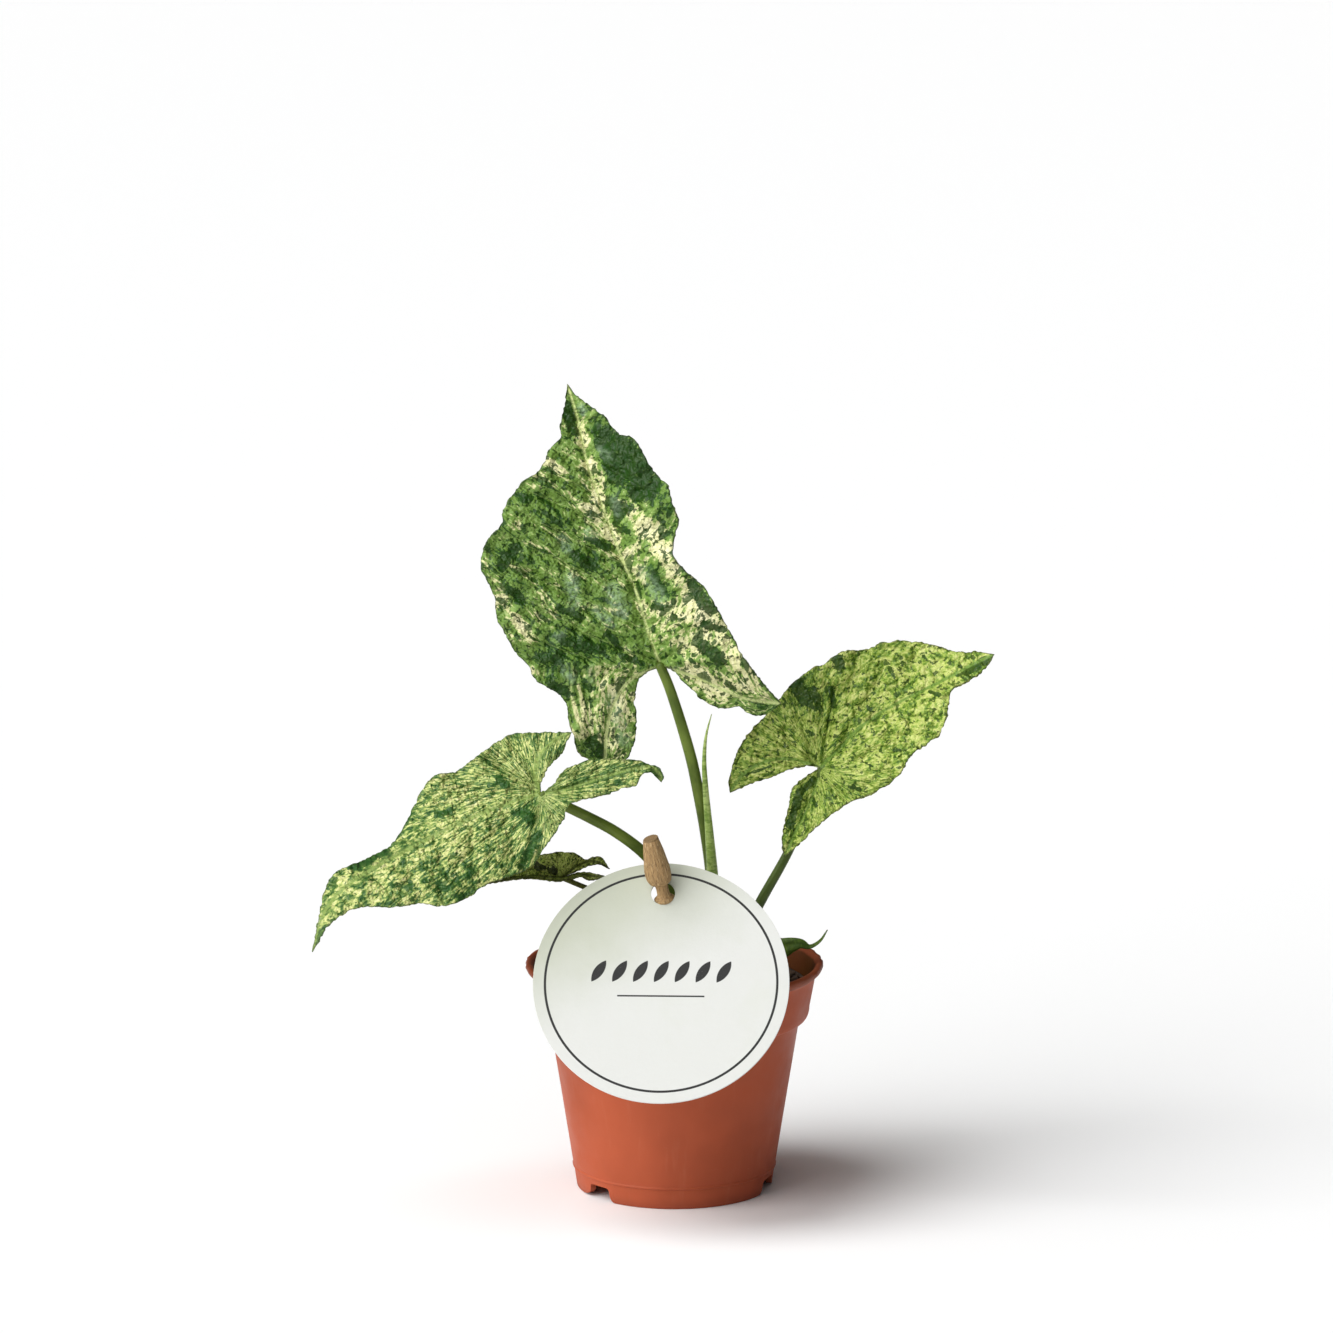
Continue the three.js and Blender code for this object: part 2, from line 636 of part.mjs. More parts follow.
plant.add(named("tall_leaf_stalk", stalkGeometry(TALL_STALK), STALK_GREEN, 0.5));
plant.add(named("tall_leaf_blade", bladeGeometry(TALL_BLADE, 14, 6, 4), LEAF_GREEN, 0.4));
plant.add(named("rolled_new_leaf", stalkGeometry(NEW_LEAF), 0x8a9c4a, 0.5));
plant.add(named("right_leaf_stalk", stalkGeometry(RIGHT_STALK), STALK_GREEN, 0.5));
plant.add(named("right_leaf_blade", bladeGeometry(RIGHT_BLADE, 12, 6, 4), 0x8fa24e, 0.4));
plant.add(named("left_leaf_stalk", stalkGeometry(LEFT_STALK), STALK_GREEN, 0.5));
plant.add(named("left_leaf_blade", bladeGeometry(LEFT_BLADE, 14, 7, 4), 0x8ea362, 0.4));
plant.add(named("low_leaf_stalk", stalkGeometry(LOW_STALK), 0x4a4a20, 0.5));
plant.add(named("low_leaf_blade", bladeGeometry(LOW_BLADE, 8, 5, 2), 0x3f4a1e, 0.5));
plant.add(named("curled_leaf", stalkGeometry(CURLED_LEAF), 0x4e6a2c, 0.5));

plant.add(tag);
plant.add(named("tag_peg", onPegAxis(pegGeometry(0), holeCentre), 0xb98f62, 0.6));

// The origin is the middle of the footprint of the whole object, on the surface it stands on.
const footprint = new THREE.Box3().setFromObject(plant).getCenter(new THREE.Vector3());
plant.position.set(-footprint.x, -footprint.y, 0);

const group = new THREE.Group();
group.add(plant);

export default group;
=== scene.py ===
"""Potted arrowhead plant.

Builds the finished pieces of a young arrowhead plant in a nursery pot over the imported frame: the
pot, the soil, the leaves and stalks, and the round tag on its wooden peg.

Sizes are in millimetres from the foot of the pot's axis, and are put in the frame, in metres, as
each mesh is made. Leaves and stalks are drawn from the front: a drawn point (x, h, back) has its
place x and height h on the upright plane through the pot's axis, as seen from EYE, and "back" is
how far behind that plane, or when negative in front of it, the point lies.
"""

import math

import bpy
import numpy as np
from mathutils import Matrix, Vector, noise


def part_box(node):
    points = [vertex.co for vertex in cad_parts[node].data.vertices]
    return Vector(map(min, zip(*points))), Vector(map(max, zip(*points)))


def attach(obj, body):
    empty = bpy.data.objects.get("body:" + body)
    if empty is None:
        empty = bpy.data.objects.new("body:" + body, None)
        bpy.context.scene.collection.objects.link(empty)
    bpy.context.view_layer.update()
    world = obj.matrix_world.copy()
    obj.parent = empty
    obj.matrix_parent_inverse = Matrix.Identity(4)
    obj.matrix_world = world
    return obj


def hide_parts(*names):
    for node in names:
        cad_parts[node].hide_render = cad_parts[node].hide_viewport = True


bl_info = {
    "name": "Potted arrowhead plant",
    "version": (1, 0, 0),
    "blender": (4, 5, 0),
    "location": "View3D > Sidebar > Arrowhead",
    "description": "Builds a potted arrowhead plant with its tag, piece by piece",
    "category": "Add Mesh",
}

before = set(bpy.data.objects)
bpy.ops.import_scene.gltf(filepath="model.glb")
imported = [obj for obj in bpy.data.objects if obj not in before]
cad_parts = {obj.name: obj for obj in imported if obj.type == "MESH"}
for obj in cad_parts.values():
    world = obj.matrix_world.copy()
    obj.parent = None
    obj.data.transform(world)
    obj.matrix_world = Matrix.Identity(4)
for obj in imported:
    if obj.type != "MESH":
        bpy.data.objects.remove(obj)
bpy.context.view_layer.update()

MM = 0.001
MERGE_GAP = 2e-6
POT_LOW, POT_HIGH = (Vector(corner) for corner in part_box("pot"))
POT_AXIS = Vector(((POT_LOW.x + POT_HIGH.x) / 2, (POT_LOW.y + POT_HIGH.y) / 2, 0))
EYE = Vector((-2.4, -1773.0, 505.5))
EYE_PITCH = math.radians(11)
LENS_MM, SENSOR_MM = 162.04, 36
VIEW_END = 60


def tint(red, green, blue):
    """A colour given in the usual 0 to 255 numbers, as the linear numbers that Blender mixes."""
    shares = [value / 255 for value in (red, green, blue)]
    return tuple(s / 12.92 if s <= 0.04045 else ((s + 0.055) / 1.055) ** 2.4 for s in shares)


def shaded(shade, factor):
    """A linear colour made darker or lighter."""
    return tuple(min(1, value * factor) for value in shade)


# ---- Settings ----


def colour(name, description, default):
    """A setting that is a colour."""
    return bpy.props.FloatVectorProperty(
        name=name, description=description, subtype="COLOR", size=3, min=0, max=1, default=default
    )


def number(name, description, default, low, high, **more):
    """A setting that is a number between two limits."""
    return bpy.props.FloatProperty(
        name=name, description=description, default=default, min=low, max=high, **more
    )


def distance(name, description, default, low, high):
    """A setting that is a length in metres between two limits."""
    return number(
        name, description, default, low, high, precision=5, subtype="DISTANCE", unit="LENGTH"
    )


class PotSettings(bpy.types.PropertyGroup):
    sides: bpy.props.IntProperty(
        name="Sides", description="Flat sides round the pot", default=144, min=32, max=256
    )
    plastic: colour("Plastic", "Colour of the moulded plastic", tint(174, 84, 54))
    peat: colour("Peat", "Colour of the moist peat mix", tint(46, 33, 24))


class LeafSettings(bpy.types.PropertyGroup):
    thickness: distance(
        "Blade thickness", "Thickness of a leaf blade", 0.45 * MM, 0.2 * MM, 1 * MM
    )
    fineness: number("Fineness", "Faces of a blade, as a share of the plain number", 1.6, 0.3, 2)
    vein_spacing: number("Vein spacing", "From one side vein to the next, in mm", 11, 4, 30)
    stalk: colour("Stalk", "Colour of the older stalks", tint(76, 94, 30))
    new_leaf: colour("New leaf", "Colour of the rolled new leaf", tint(120, 148, 60))


class TagSettings(bpy.types.PropertyGroup):
    ring_radius: distance("Ring radius", "Radius of the printed ring", 34.5 * MM, 20 * MM, 37 * MM)
    card: colour("Card", "Colour of the card", tint(213, 214, 210))
    ink: colour("Ink", "Colour of the printed ring and leaves", tint(14, 14, 14))
    peg: colour("Peg wood", "Colour of the peg's wood", tint(158, 126, 82))


class StageSettings(bpy.types.PropertyGroup):
    floor: colour("Floor", "Colour of the floor", tint(252, 252, 252))
    sun: number("Key light", "Strength of the light from the left", 1.6, 0, 20)
    top: number("Top light", "Strength of the soft light from above", 1.7, 0, 20)
    soft_box: number("Soft box", "Strength of the bright region to the left", 0.95, 0, 20)
    fill: number("Fill light", "Strength of the light from all round", 0.1, 0, 5)


# ---- The plant's drawn lines, in mm ----

# A stalk is a line of drawn points from its foot to its end, with radii spread evenly along it.
MAIN_STEM = {
    "line": [(12.5, 53, 0.6), (12.5, 60, 0.6), (12.5, 67.5, 0.6)],
    "radii": [4.2, 5.6, 5.8, 5.6, 4.2, 2.4],
}
TALL_STALK = {
    "line": [
        (12.3, 61, 0.9), (12.5, 72, 0.8), (12.2, 84, 0.4), (11.1, 98, -0.2), (9.3, 110.8, -0.8),
        (6.9, 123.8, -1.5), (4.8, 133.5, -2), (-1.4, 154, -2.6), (-4.4, 161.4, -3.2),
    ],
    "radii": [2.3, 2.1, 1.9, 1.8, 1.7, 1.65, 1.6, 1.5, 1.4],
}
NEW_LEAF = {
    "line": [
        (12.9, 61, -3), (12.9, 72, -2.9), (12.4, 85, -2.9), (11.6, 98, -3.2), (10.6, 110.8, -3.6),
        (9.5, 123.8, -3.8), (9.1, 132.1, -3.8), (9.6, 139.5, -3.8), (11.2, 146.2, -3.8),
    ],
    "radii": [2.3, 2.2, 2.1, 1.85, 1.5, 1.15, 0.85, 0.55, 0.12],
}
RIGHT_STALK = {
    "line": [
        (16.8, 61, 2.8), (17.6, 68, 3), (20.8, 77.5, 3.6), (26.4, 88.7, 4.8), (33.7, 102.1, 7),
        (38.5, 112.5, 9.2), (42.5, 121.5, 9.6), (44.4, 129.2, 8.8),
    ],
    "radii": [1.7, 1.6, 1.5, 1.35, 1.25, 1.25],
}
LEFT_STALK = {
    "line": [
        (8.2, 61, -1), (7.7, 70, -2), (6, 79, -4), (2, 89, -7), (-9, 103, -12),
        (-18, 110, -14.3), (-25, 113.9, -15.6), (-32, 117.4, -16.6), (-40.3, 121.3, -17.4),
    ],
    "radii": [1.9, 1.8, 1.75, 1.7, 1.6, 1.5, 1.4],
}
LOW_STALK = {
    "line": [
        (10.2, 61, 4.8), (9.3, 68, 4.4), (5, 75.5, 2.8), (-2, 82, 0), (-12, 87, -3),
        (-20, 89.8, -4.8), (-26.5, 92.4, -6.6), (-33.6, 95.4, -8.2),
    ],
    "radii": [0.95, 0.9, 0.85, 0.75, 0.7],
}

CURLED_LEAF = {
    "line": [
        (24, 59, 3), (25.5, 66.4, 2.5), (29, 71.2, 1.5), (34, 74.1, 0), (38.3, 75.0, -1),
        (41.0, 74.1, -1.4), (44.2, 75.9, -1.4), (46.5, 79.4, -1.4),
    ],
    "radii": [0.9, 0.9, 1.2, 2.3, 2.9, 2.6, 1.6, 0.6, 0.4, 0.15],
}

# A blade is drawn as one midrib, from its tip to the junction with the stalk, and two halves. Each
# half has the lobe's own vein, on from the junction to the tip of the lobe, and two lines between
# their ends: the margin from the leaf's tip round to the lobe's, and the inner margin from the
# junction along the notch to the lobe's tip. "shoulder" is the number of the margin point level
# with the junction. "lift" is how far the margin stands in front of the vein opposite it, at the
# leaf's tip, half way, at the junction and at the lobe's tip.
TALL_BLADE = {
    "midrib": [
        (-32, 246.8, 21), (-29.1, 237, 18.5), (-25.9, 222, 13.2), (-20.5, 207, 8),
        (-16.2, 195, 4.4), (-11.2, 183, 0.8), (-7.4, 170, -2.3), (-4, 161, -4),
    ],
    "left": {
        "margin": [
            (-32.7, 241), (-33.5, 237.5), (-34.2, 233), (-34, 230.5), (-37, 227.5), (-39, 223),
            (-41, 220), (-45, 217.5), (-49, 212.5), (-51.5, 208), (-51.5, 205), (-53, 203),
            (-56, 199.5), (-58, 194), (-58, 191), (-56, 186.5), (-54, 182), (-53.5, 176),
            (-50.5, 170), (-48, 165.5), (-44, 161), (-41.5, 156.5), (-35, 152.5), (-32.5, 149),
            (-32, 144.5), (-30, 138), (-29.5, 135), (-26.5, 132.5),
        ],
        "shoulder": 21,
        "vein": [(-13, 157, -5.5), (-18.5, 149, -7), (-20.5, 140, -8), (-21, 130, -8)],
        "inner": [(-8, 159.5), (-10.5, 157), (-12, 152), (-11.5, 145), (-12, 138), (-15, 132)],
        "lift": (0, 4, 3, 0),
        "inner_lift": -1.5,
    },
    "right": {
        "margin": [
            (-29.6, 243.6), (-25, 240), (-21, 237), (-17, 232), (-12, 230), (-9.5, 226), (-6, 220),
            (-2, 216), (-0.5, 210), (1.3, 205), (0.5, 202), (-0.3, 199.5), (0, 194), (4, 189.5),
            (9, 185), (12.5, 179), (16.5, 172), (20, 165), (25, 158), (29, 153),
        ],
        "shoulder": 18,
        "vein": [(4, 158.6, -6), (13, 154.6, -8.5), (22, 151, -10.5), (32.2, 149.6, -12)],
        "inner": [
            (-1, 160.5), (1, 158), (6, 153), (10, 149.5), (15, 148), (20, 148.5), (22, 146.5),
            (27, 146),
        ],
        "lift": (0, 15, 14, 0),
        "inner_lift": -1.5,
    },
}
RIGHT_BLADE = {
    "midrib": [
        (96.2, 164.6, 6), (90, 161.5, 8), (82, 157, 9.6), (72, 152, 10.4), (63, 147, 10.2),
        (56, 142, 9.6), (49, 134.8, 8.6), (44, 129.6, 8),
    ],
    "left": {
        "margin": [
            (92, 165.3), (85, 165.4), (78, 167.4), (70, 168.7), (63, 168.2), (57, 166),
            (50, 165.3), (45.5, 162), (40, 159.5), (34, 154), (27, 145.3), (21.8, 139.4),
            (18, 132), (16.5, 124.5),
        ],
        "shoulder": 10,
        "vein": [(36, 132.2, 8.5), (28, 131.6, 8), (21, 127.8, 6.5), (16.8, 122, 5)],
        "inner": [(42, 130.3), (37, 129.8), (29, 126.7), (22, 124.3)],
        "lift": (0, -14, -12, 0),
        "inner_lift": 1.5,
    },
    "right": {
        "margin": [
            (93.5, 160), (88, 156), (83.6, 153.5), (82.6, 148), (80, 140), (72, 134), (67.5, 127),
            (61, 122.4), (52, 118.4), (43.5, 111.8), (38.6, 106.6),
        ],
        "shoulder": 7,
        "vein": [(42.5, 123.5, 6), (39.8, 116, 4.4), (36, 108.5, 3.2), (33.2, 102, 2.6)],
        "inner": [(40, 127.3), (35.8, 123.5), (34.2, 116), (32.5, 108)],
        "lift": (0, 12, 12, 0),
        "inner_lift": -0.5,
    },
}
LEFT_BLADE = {
    "midrib": [
        (-110, 72.5, -38), (-107, 83, -37), (-101, 91.5, -34.5), (-91, 98.5, -31),
        (-80, 104.6, -27.5), (-70, 110, -24.5), (-60, 114.8, -21.8), (-50, 118.8, -19.5),
        (-40.5, 121.5, -18),
    ],
    "left": {
        "margin": [
            (-108, 82), (-106.5, 90), (-103, 97), (-95, 100.6), (-85.5, 106), (-81, 113),
            (-75.5, 124), (-72, 127.4), (-66, 128.6), (-57, 135.3), (-49, 140), (-40, 140.6),
        ],
        "shoulder": 11,
        "vein": [(-42, 128, -16), (-40, 134, -14), (-36, 138, -12.8), (-31, 140.6, -12)],
        "inner": [(-40.2, 125), (-38.2, 129), (-34, 134.5)],
        "lift": (0, -14, -11, 0),
        "inner_lift": 0.5,
    },
    "right": {
        "margin": [
            (-105, 80.5), (-99, 85.2), (-93, 86.6), (-85, 86.4), (-77, 87.6), (-70, 86.8),
            (-62, 89.8), (-57, 93.6), (-50, 96), (-43.5, 99), (-38.6, 106), (-34, 113),
            (-31.3, 118.6), (-22, 121), (-13, 124), (-11.4, 124), (-10.4, 127), (-7.8, 128.2),
            (-5.8, 127),
        ],
        "shoulder": 12,
        "vein": [
            (-31, 123.6, -18.6), (-22, 126.6, -19.4), (-12, 129.4, -20), (-7, 129.8, -20),
            (-4.6, 127.8, -20), (-4, 125.2, -20),
        ],
        "inner": [
            (-37, 124), (-32.5, 129.4), (-26, 132), (-15, 132.2), (-8.5, 131.4), (-4.6, 129.4),
            (-3.2, 127),
        ],
        "lift": (0, 13, 8, 0),
        "inner_lift": -1.5,
    },
}
LOW_BLADE = {
    "midrib": [(-60, 93.2, -14), (-52, 95, -12.4), (-43.8, 96, -10.4), (-34, 95.6, -8.6)],
    "left": {
        "margin": [
            (-53, 98.5), (-46, 101.8), (-40, 102.9), (-33.4, 103.7), (-28.9, 102.7),
            (-26.8, 101.3), (-22.5, 102.2),
        ],
        "shoulder": 5,
        "vein": [(-30, 99, -6.8), (-25, 100.8, -6), (-19.6, 98.4, -6.4)],
        "inner": [(-29.5, 97.6), (-25.6, 99.3), (-22.5, 99.7)],
        "lift": (0, -4, -2, 0),
        "inner_lift": 0.5,
    },
    "right": {
        "margin": [(-52, 94.6), (-43.8, 95.4), (-35, 94.6), (-28.6, 95.8), (-25.6, 94.9)],
        "shoulder": 3,
        "vein": [(-29, 96.6, -7.8), (-24.5, 96, -7.8), (-20.2, 95.9, -8)],
        "inner": [(-29.4, 97.3), (-25.5, 97.3)],
        "lift": (0, 7, 5, 0),
        "inner_lift": -0.5,
    },
}

# A marking is (x, h, x, h, radius, strength): a stroke between two drawn points. "tone" lightens a
# blade towards cream or, when negative, darkens it; a few thin ones along creases are painted shade
# and highlights. "deep" strokes are solid dark green patches, and the last list paints highlights,
# a thin grey-green sheen.
TALL_MARKS = {
    "tone": [
        (4, 182, 26, 156, 13, 0.13), (-18, 152, -20, 136, 8, 0.3), (6, 158, 20, 153, 5, 0.15),
        (25, 152, 33, 150, 5, -0.3), (-29, 237, -25, 221, 2.1, 0.5), (-25, 221, -22, 212, 3, 0.6),
        (-24, 212, -19, 201, 2.7, 0.55), (-19, 202, -10, 189, 2.1, 0.5),
        (-28, 210, -23, 202, 2.4, 0.45), (-13, 209, -7, 202, 3.6, 0.6), (-7, 202, -2, 198, 4, 0.6),
        (-10, 197, -1, 193, 3, 0.55), (0, 190, 5, 181, 2.7, 0.6), (-9, 178, 8, 177, 3, 0.55),
        (5, 181, 14, 174, 2.7, 0.5), (-4, 171, 8, 168, 3.6, 0.5), (8, 175, 19, 164, 3, 0.5),
        (3, 160, 26, 151, 2.7, 0.4), (5, 158, 14, 151, 3, 0.4), (18, 161, 29, 150, 2.4, 0.45),
        (-52, 182, -46, 173, 2.7, 0.5), (-46, 174, -42, 165, 2.1, 0.4),
        (-28, 159, -19, 160, 2.4, 0.55), (-30, 154, -27, 141, 2.4, 0.4),
        (-22, 156, -17, 150, 2.1, 0.4), (-41, 225, -34, 221, 2.7, 0.5),
        (-32, 233, -26, 230, 2.4, 0.4), (-16, 141, -14, 151, 2.4, 0.2),
        (-22, 138, -30, 140, 1.8, 0.3), (-34, 169, -22, 165, 6.1, -0.55),
        (-40, 164, -29, 160, 4.9, -0.35), (-38, 156, -31, 152, 3.6, -0.35),
        (-43, 160, -34, 155, 1.2, 0.5), (-30, 164, -20, 162, 0.9, 0.4),
        (-36, 150, -31, 140, 1.6, 0.4), (-52, 193, -48, 198, 4.3, -0.4),
        (-49, 184, -46, 181, 3, -0.4), (-48, 215, -42, 212, 3.6, -0.35),
        (-19, 230, -10, 218, 7.3, -0.7), (-6, 221, -2, 202, 3, -0.35),
        (-31, 240, -30, 233, 3, -0.5), (-39, 209, -33, 204, 3, -0.35),
        (-30, 195, -25, 192, 3, -0.4), (-25, 137, -21, 133, 3, -0.4),
        (-6, 190, -3, 183, 2.7, -0.35), (20, 152, 30, 148, 2.1, -0.4),
    ],
    "deep": [
        (-21, 230, -17, 218, 3.3, 1), (-16, 228, -10, 216, 4.6, 1), (-10, 225, -8, 214, 3.3, 1),
        (-13, 221, -11, 213, 3, 1), (-19, 211, -14, 209, 2.3, 1), (-16, 208, -17, 205, 1.8, 1),
        (-26, 200, -20, 197, 1.4, 1), (-30, 195, -25, 192, 2.1, 1), (-39, 208, -34, 204, 1.5, 0.7),
        (-49, 214, -43, 212, 1.8, 0.7), (-52, 192, -48, 197, 2.7, 0.9),
        (-49, 184, -46, 181, 2.1, 0.9), (-35, 179, -28, 176, 1.4, 1),
        (-34, 169, -22, 166, 2.4, 0.8), (-40, 164, -34, 163, 2.7, 0.8),
        (-38, 156, -33, 153, 2.4, 0.9), (-20, 171, -16, 166, 1.5, 0.8),
        (-16, 164, -10, 162, 1.1, 1), (-6, 189, -3, 184, 2.1, 0.8), (-6, 179, -4, 179, 1.5, 0.9),
        (5, 186, 10, 179, 2.4, 1), (10, 179, 12, 178, 1.8, 1), (9, 167, 14, 163, 2.6, 1),
        (9, 174, 15, 172, 1.5, 0.9), (0, 176, 0, 176, 1.4, 1), (0, 181, 0, 181, 1.1, 1),
        (-25, 138, -22, 134, 2.4, 1), (-27, 156, -25, 154, 1.5, 0.9),
        (-32, 240, -30, 232, 2.1, 0.9), (5, 163, 6, 162, 0.9, 0.9), (-6, 173, -6, 172, 1.2, 0.8),
        (16, 156, 18, 154, 1.2, 0.8), (21, 151, 28, 149, 0.9, 0.8), (-11, 187, -10, 182, 0.9, 0.7),
        (-14, 202, -16, 203, 1.5, 0.8), (-2, 202, -4, 200, 1.5, 0.6), (-5, 206, -3, 205, 1.2, 0.7),
    ],
    # Painted highlights: strokes of a pale grey-green sheen.
    "painted_highlight": [
        (-31, 188, -30, 180, 2.1, 0.9), (-19, 184, -16, 178, 2.7, 0.9),
        (-34, 200, -32, 197, 1.8, 0.7), (-9, 190, -4, 182, 2.4, 0.6),
        (-23, 178, -19, 174, 1.8, 0.7), (-26, 202, -24, 201, 1.5, 0.7),
        (-19, 151, -15, 138, 2.4, 0.6), (-22, 227, -20, 225, 1.5, 0.5),
        (-28, 240, -27, 238, 1.2, 0.8), (-33, 160, -31, 157, 1.8, 0.7),
        (-34, 171, -36, 169, 1.5, 0.5), (-18, 212, -17, 208, 1.5, 0.5),
        (-25, 160, -25, 157, 1.5, 0.5),
    ],
}
LEFT_MARKS = {
    "tone": [
        (-74, 123, -47, 123, 7.9, 0.12), (-104, 87, -83, 95, 6.7, 0.12),
        (-62, 110, -74, 104, 6.1, 0.12), (-53, 138, -47, 132, 3, 0.15),
        (-74, 96, -63, 91, 6.1, -0.25), (-45, 116, -45, 113, 3.6, -0.3),
        (-52, 126, -50, 124, 2.7, -0.25), (-41, 139, -34, 132, 3.6, -0.2),
        (-53, 115, -41, 120, 2.4, -0.1), (-81, 94, -78, 92, 2.4, -0.2),
        (-98, 99, -89, 103, 1.8, -0.3), (-85, 107, -77, 119, 1.2, -0.3),
        # Painted shade in the creases: the thin dark strokes that run out from the junction along
        # them.
        (-35, 123, -10, 129, 3, -0.1), (-41, 124, -49, 138, 0.7, -0.35),
        (-42, 122, -62, 126, 0.6, -0.3), (-42, 120, -60, 108, 0.6, -0.3),
        (-37, 123, -14, 130, 0.7, -0.35), (-39, 118, -44, 104, 0.7, -0.3),
    ],
    "deep": [
        (-53, 126, -51, 124, 1.5, 0.9), (-56, 124, -53, 125, 0.8, 0.8),
        (-46, 116, -44, 114, 2.3, 0.9), (-49, 116, -47, 115, 1.2, 0.8),
        (-72, 115, -68, 116, 1.1, 1), (-41, 109, -46, 100, 1.7, 1), (-46, 101, -47, 99, 1.2, 1),
        (-72, 94, -69, 92, 2.4, 0.5), (-66, 97, -65, 92, 1.8, 0.5), (-62, 98, -62, 96, 1.4, 0.8),
        (-80, 94, -80, 92, 1.2, 0.7), (-98, 99, -93, 100, 1.3, 1.1), (-93, 100, -87, 104, 1, 1.1),
        (-85, 107, -80, 115, 0.9, 1), (-57, 132, -55, 130, 0.9, 0.6),
        (-76, 118, -74, 115, 0.9, 0.5), (-7, 132, -4, 126, 1.6, 1.3),
        (-35, 123, -22, 126, 1.1, 0.9), (-22, 126, -8, 131, 1, 1), (-65, 132, -58, 136, 0.6, 0.6),
    ],
    "painted_highlight": [],
}
RIGHT_MARKS = {
    "tone": [
        (69, 164, 83, 160, 6.1, 0.15), (68, 143, 80, 138, 6.1, 0.1), (26, 140, 35, 132, 5.5, 0.1),
        (56, 154, 59, 144, 4.3, 0.12), (59, 132, 68, 129, 4.3, 0.1),
        (45, 130, 51, 136, 2.7, -0.15), (51, 136, 64, 147, 2.1, -0.15),
        (38, 156, 43, 150, 4.3, -0.35), (47, 154, 49, 149, 2.1, -0.3),
        (30, 151, 38, 149, 2.4, -0.3), (33, 126, 38, 110, 3, -0.25), (42, 120, 53, 123, 3, -0.2),
        (62, 166, 68, 164, 3, -0.15), (94, 163, 88, 158, 2.1, -0.4), (36, 107, 35, 104, 1.8, -0.1),
        # Painted shade in the creases: the thin dark strokes from the junction; the last two are
        # painted highlights beside them.
        (44, 132, 48, 153, 0.6, -0.4), (43, 132, 34, 142, 0.6, -0.35),
        (46, 134, 52, 142, 0.7, -0.35), (52, 142, 61, 148, 0.6, -0.3),
        (46, 134, 52, 152, 0.9, 0.2), (43, 132, 42, 143, 0.9, 0.2),
    ],
    "deep": [
        (36, 156, 40, 150, 2.4, 1.1), (42, 153, 43, 149, 1.8, 0.9), (47, 154, 48, 149, 1.2, 1),
        (49, 163, 50, 161, 1.8, 1), (65, 160, 66, 158, 1.1, 0.8), (75, 164, 76, 163, 0.9, 0.6),
        (77, 153, 80, 152, 0.8, 0.9), (35, 112, 38, 122, 1.4, 1.1), (38, 122, 42, 126, 1.1, 1.1),
        (94, 163, 88, 159, 1.2, 1.1), (88, 159, 85, 158, 0.6, 0.9), (53, 124, 56, 123, 1.2, 0.7),
        (42, 120, 43, 118, 0.9, 0.8), (48, 121, 49, 120, 0.9, 0.6), (62, 146, 60, 144, 0.8, 0.7),
        (46, 132, 49, 135, 0.9, 0.6), (62, 135, 63, 134, 1.2, 0.5), (20, 127, 29, 130, 0.6, 0.8),
        (58, 131, 60, 130, 0.9, 0.6), (66, 135, 68, 135, 0.9, 0.6), (40, 141, 42, 140, 1.1, 0.6),
        (58, 149, 59, 147, 0.8, 0.7), (80, 139, 83, 142, 0.6, 0.8), (86, 161, 87, 160, 0.9, 0.7),
    ],
    "painted_highlight": [],
}
LOW_MARKS = {
    "tone": [(-44, 100, -30, 99, 3, 0.15)],
    "deep": [(-42, 99, -36, 98, 2, 0.7)],
    "painted_highlight": [],
}

# A crease is a marking whose strength is how far its line lies behind the blade, in mm.
RIGHT_CREASES = [
    (45.2, 132, 48.5, 154, 1.3, 1.7), (48, 133, 54, 152, 1.6, -0.8),
    (42.5, 131.5, 33, 141, 1.3, 1.3), (42, 128, 52, 120, 1.3, 0.8), (51, 138, 62, 158, 1.5, 0.9),
    (60, 145, 72, 163, 1.5, 0.8), (39, 133, 38, 142, 1.4, -0.7), (38, 131, 26, 134, 1.3, 0.8),
    (50, 135, 66, 136, 1.4, 0.7),
]
LEFT_CREASES = [
    (-42, 123, -60, 135, 1.3, 1.1), (-43, 121.8, -68, 123, 1.3, 0.9),
    (-42, 119.5, -64, 101, 1.4, 0.9), (-40, 118.5, -46, 98, 1.4, 1),
    (-38, 122.5, -12, 129.5, 1.6, -0.9), (-41, 124, -49, 137, 1.3, 0.9),
]
TALL_CREASES = [
    (-5, 162, -46, 192, 1.3, 0.9), (-8, 174, -40, 208, 1.4, 0.7), (-4, 162, 18, 176, 1.4, 0.8),
    (-3, 160, 24, 153, 1.3, 0.6), (-8, 158, -34, 160, 1.3, 0.9), (-12, 186, 0, 206, 1.4, 0.7),
    (-6, 163, -50, 178, 1.3, 0.8), (-15, 193, -36, 216, 1.3, 0.6),
]

# How a blade is laid out and shaped, with sizes in mm.
BLADE_SHAPE = {
    # grid rows from the tip to the junction and on to the lobe's tip, and steps across
    "rows": 90, "lobe_rows": 44, "across": 34,
    # how far the side veins fall back for each mm across, and for each mm down the lobe
    "slope": 0.62, "lobe_slope": 0.5,
    # side veins: depth, swelling between them, share of the plain spacing, and reach from the rib
    "groove": 0.45, "quilt": 1.0, "spacing_share": 1.0, "vein_reach": 60,
    # depth of the main veins, waves of the margin, how ragged it is, and the creases
    "channel": 0.6, "wave": 1.2, "wave_length": 19, "wave_start": 0.6, "ragged": 0.5, "creases": [],
    # where markings fan out from the junction at their plain width, and their length against it
    "flow_fan": None, "flow_stretch": 0.85,
}
TALL_SHAPE = {**BLADE_SHAPE, "creases": TALL_CREASES}
RIGHT_SHAPE = {**BLADE_SHAPE, "creases": RIGHT_CREASES, "wave": 1.0, "flow_fan": 42}
LEFT_SHAPE = {
    **BLADE_SHAPE, "creases": LEFT_CREASES, "quilt": 0.8, "flow_fan": 46, "flow_stretch": 0.42,
}
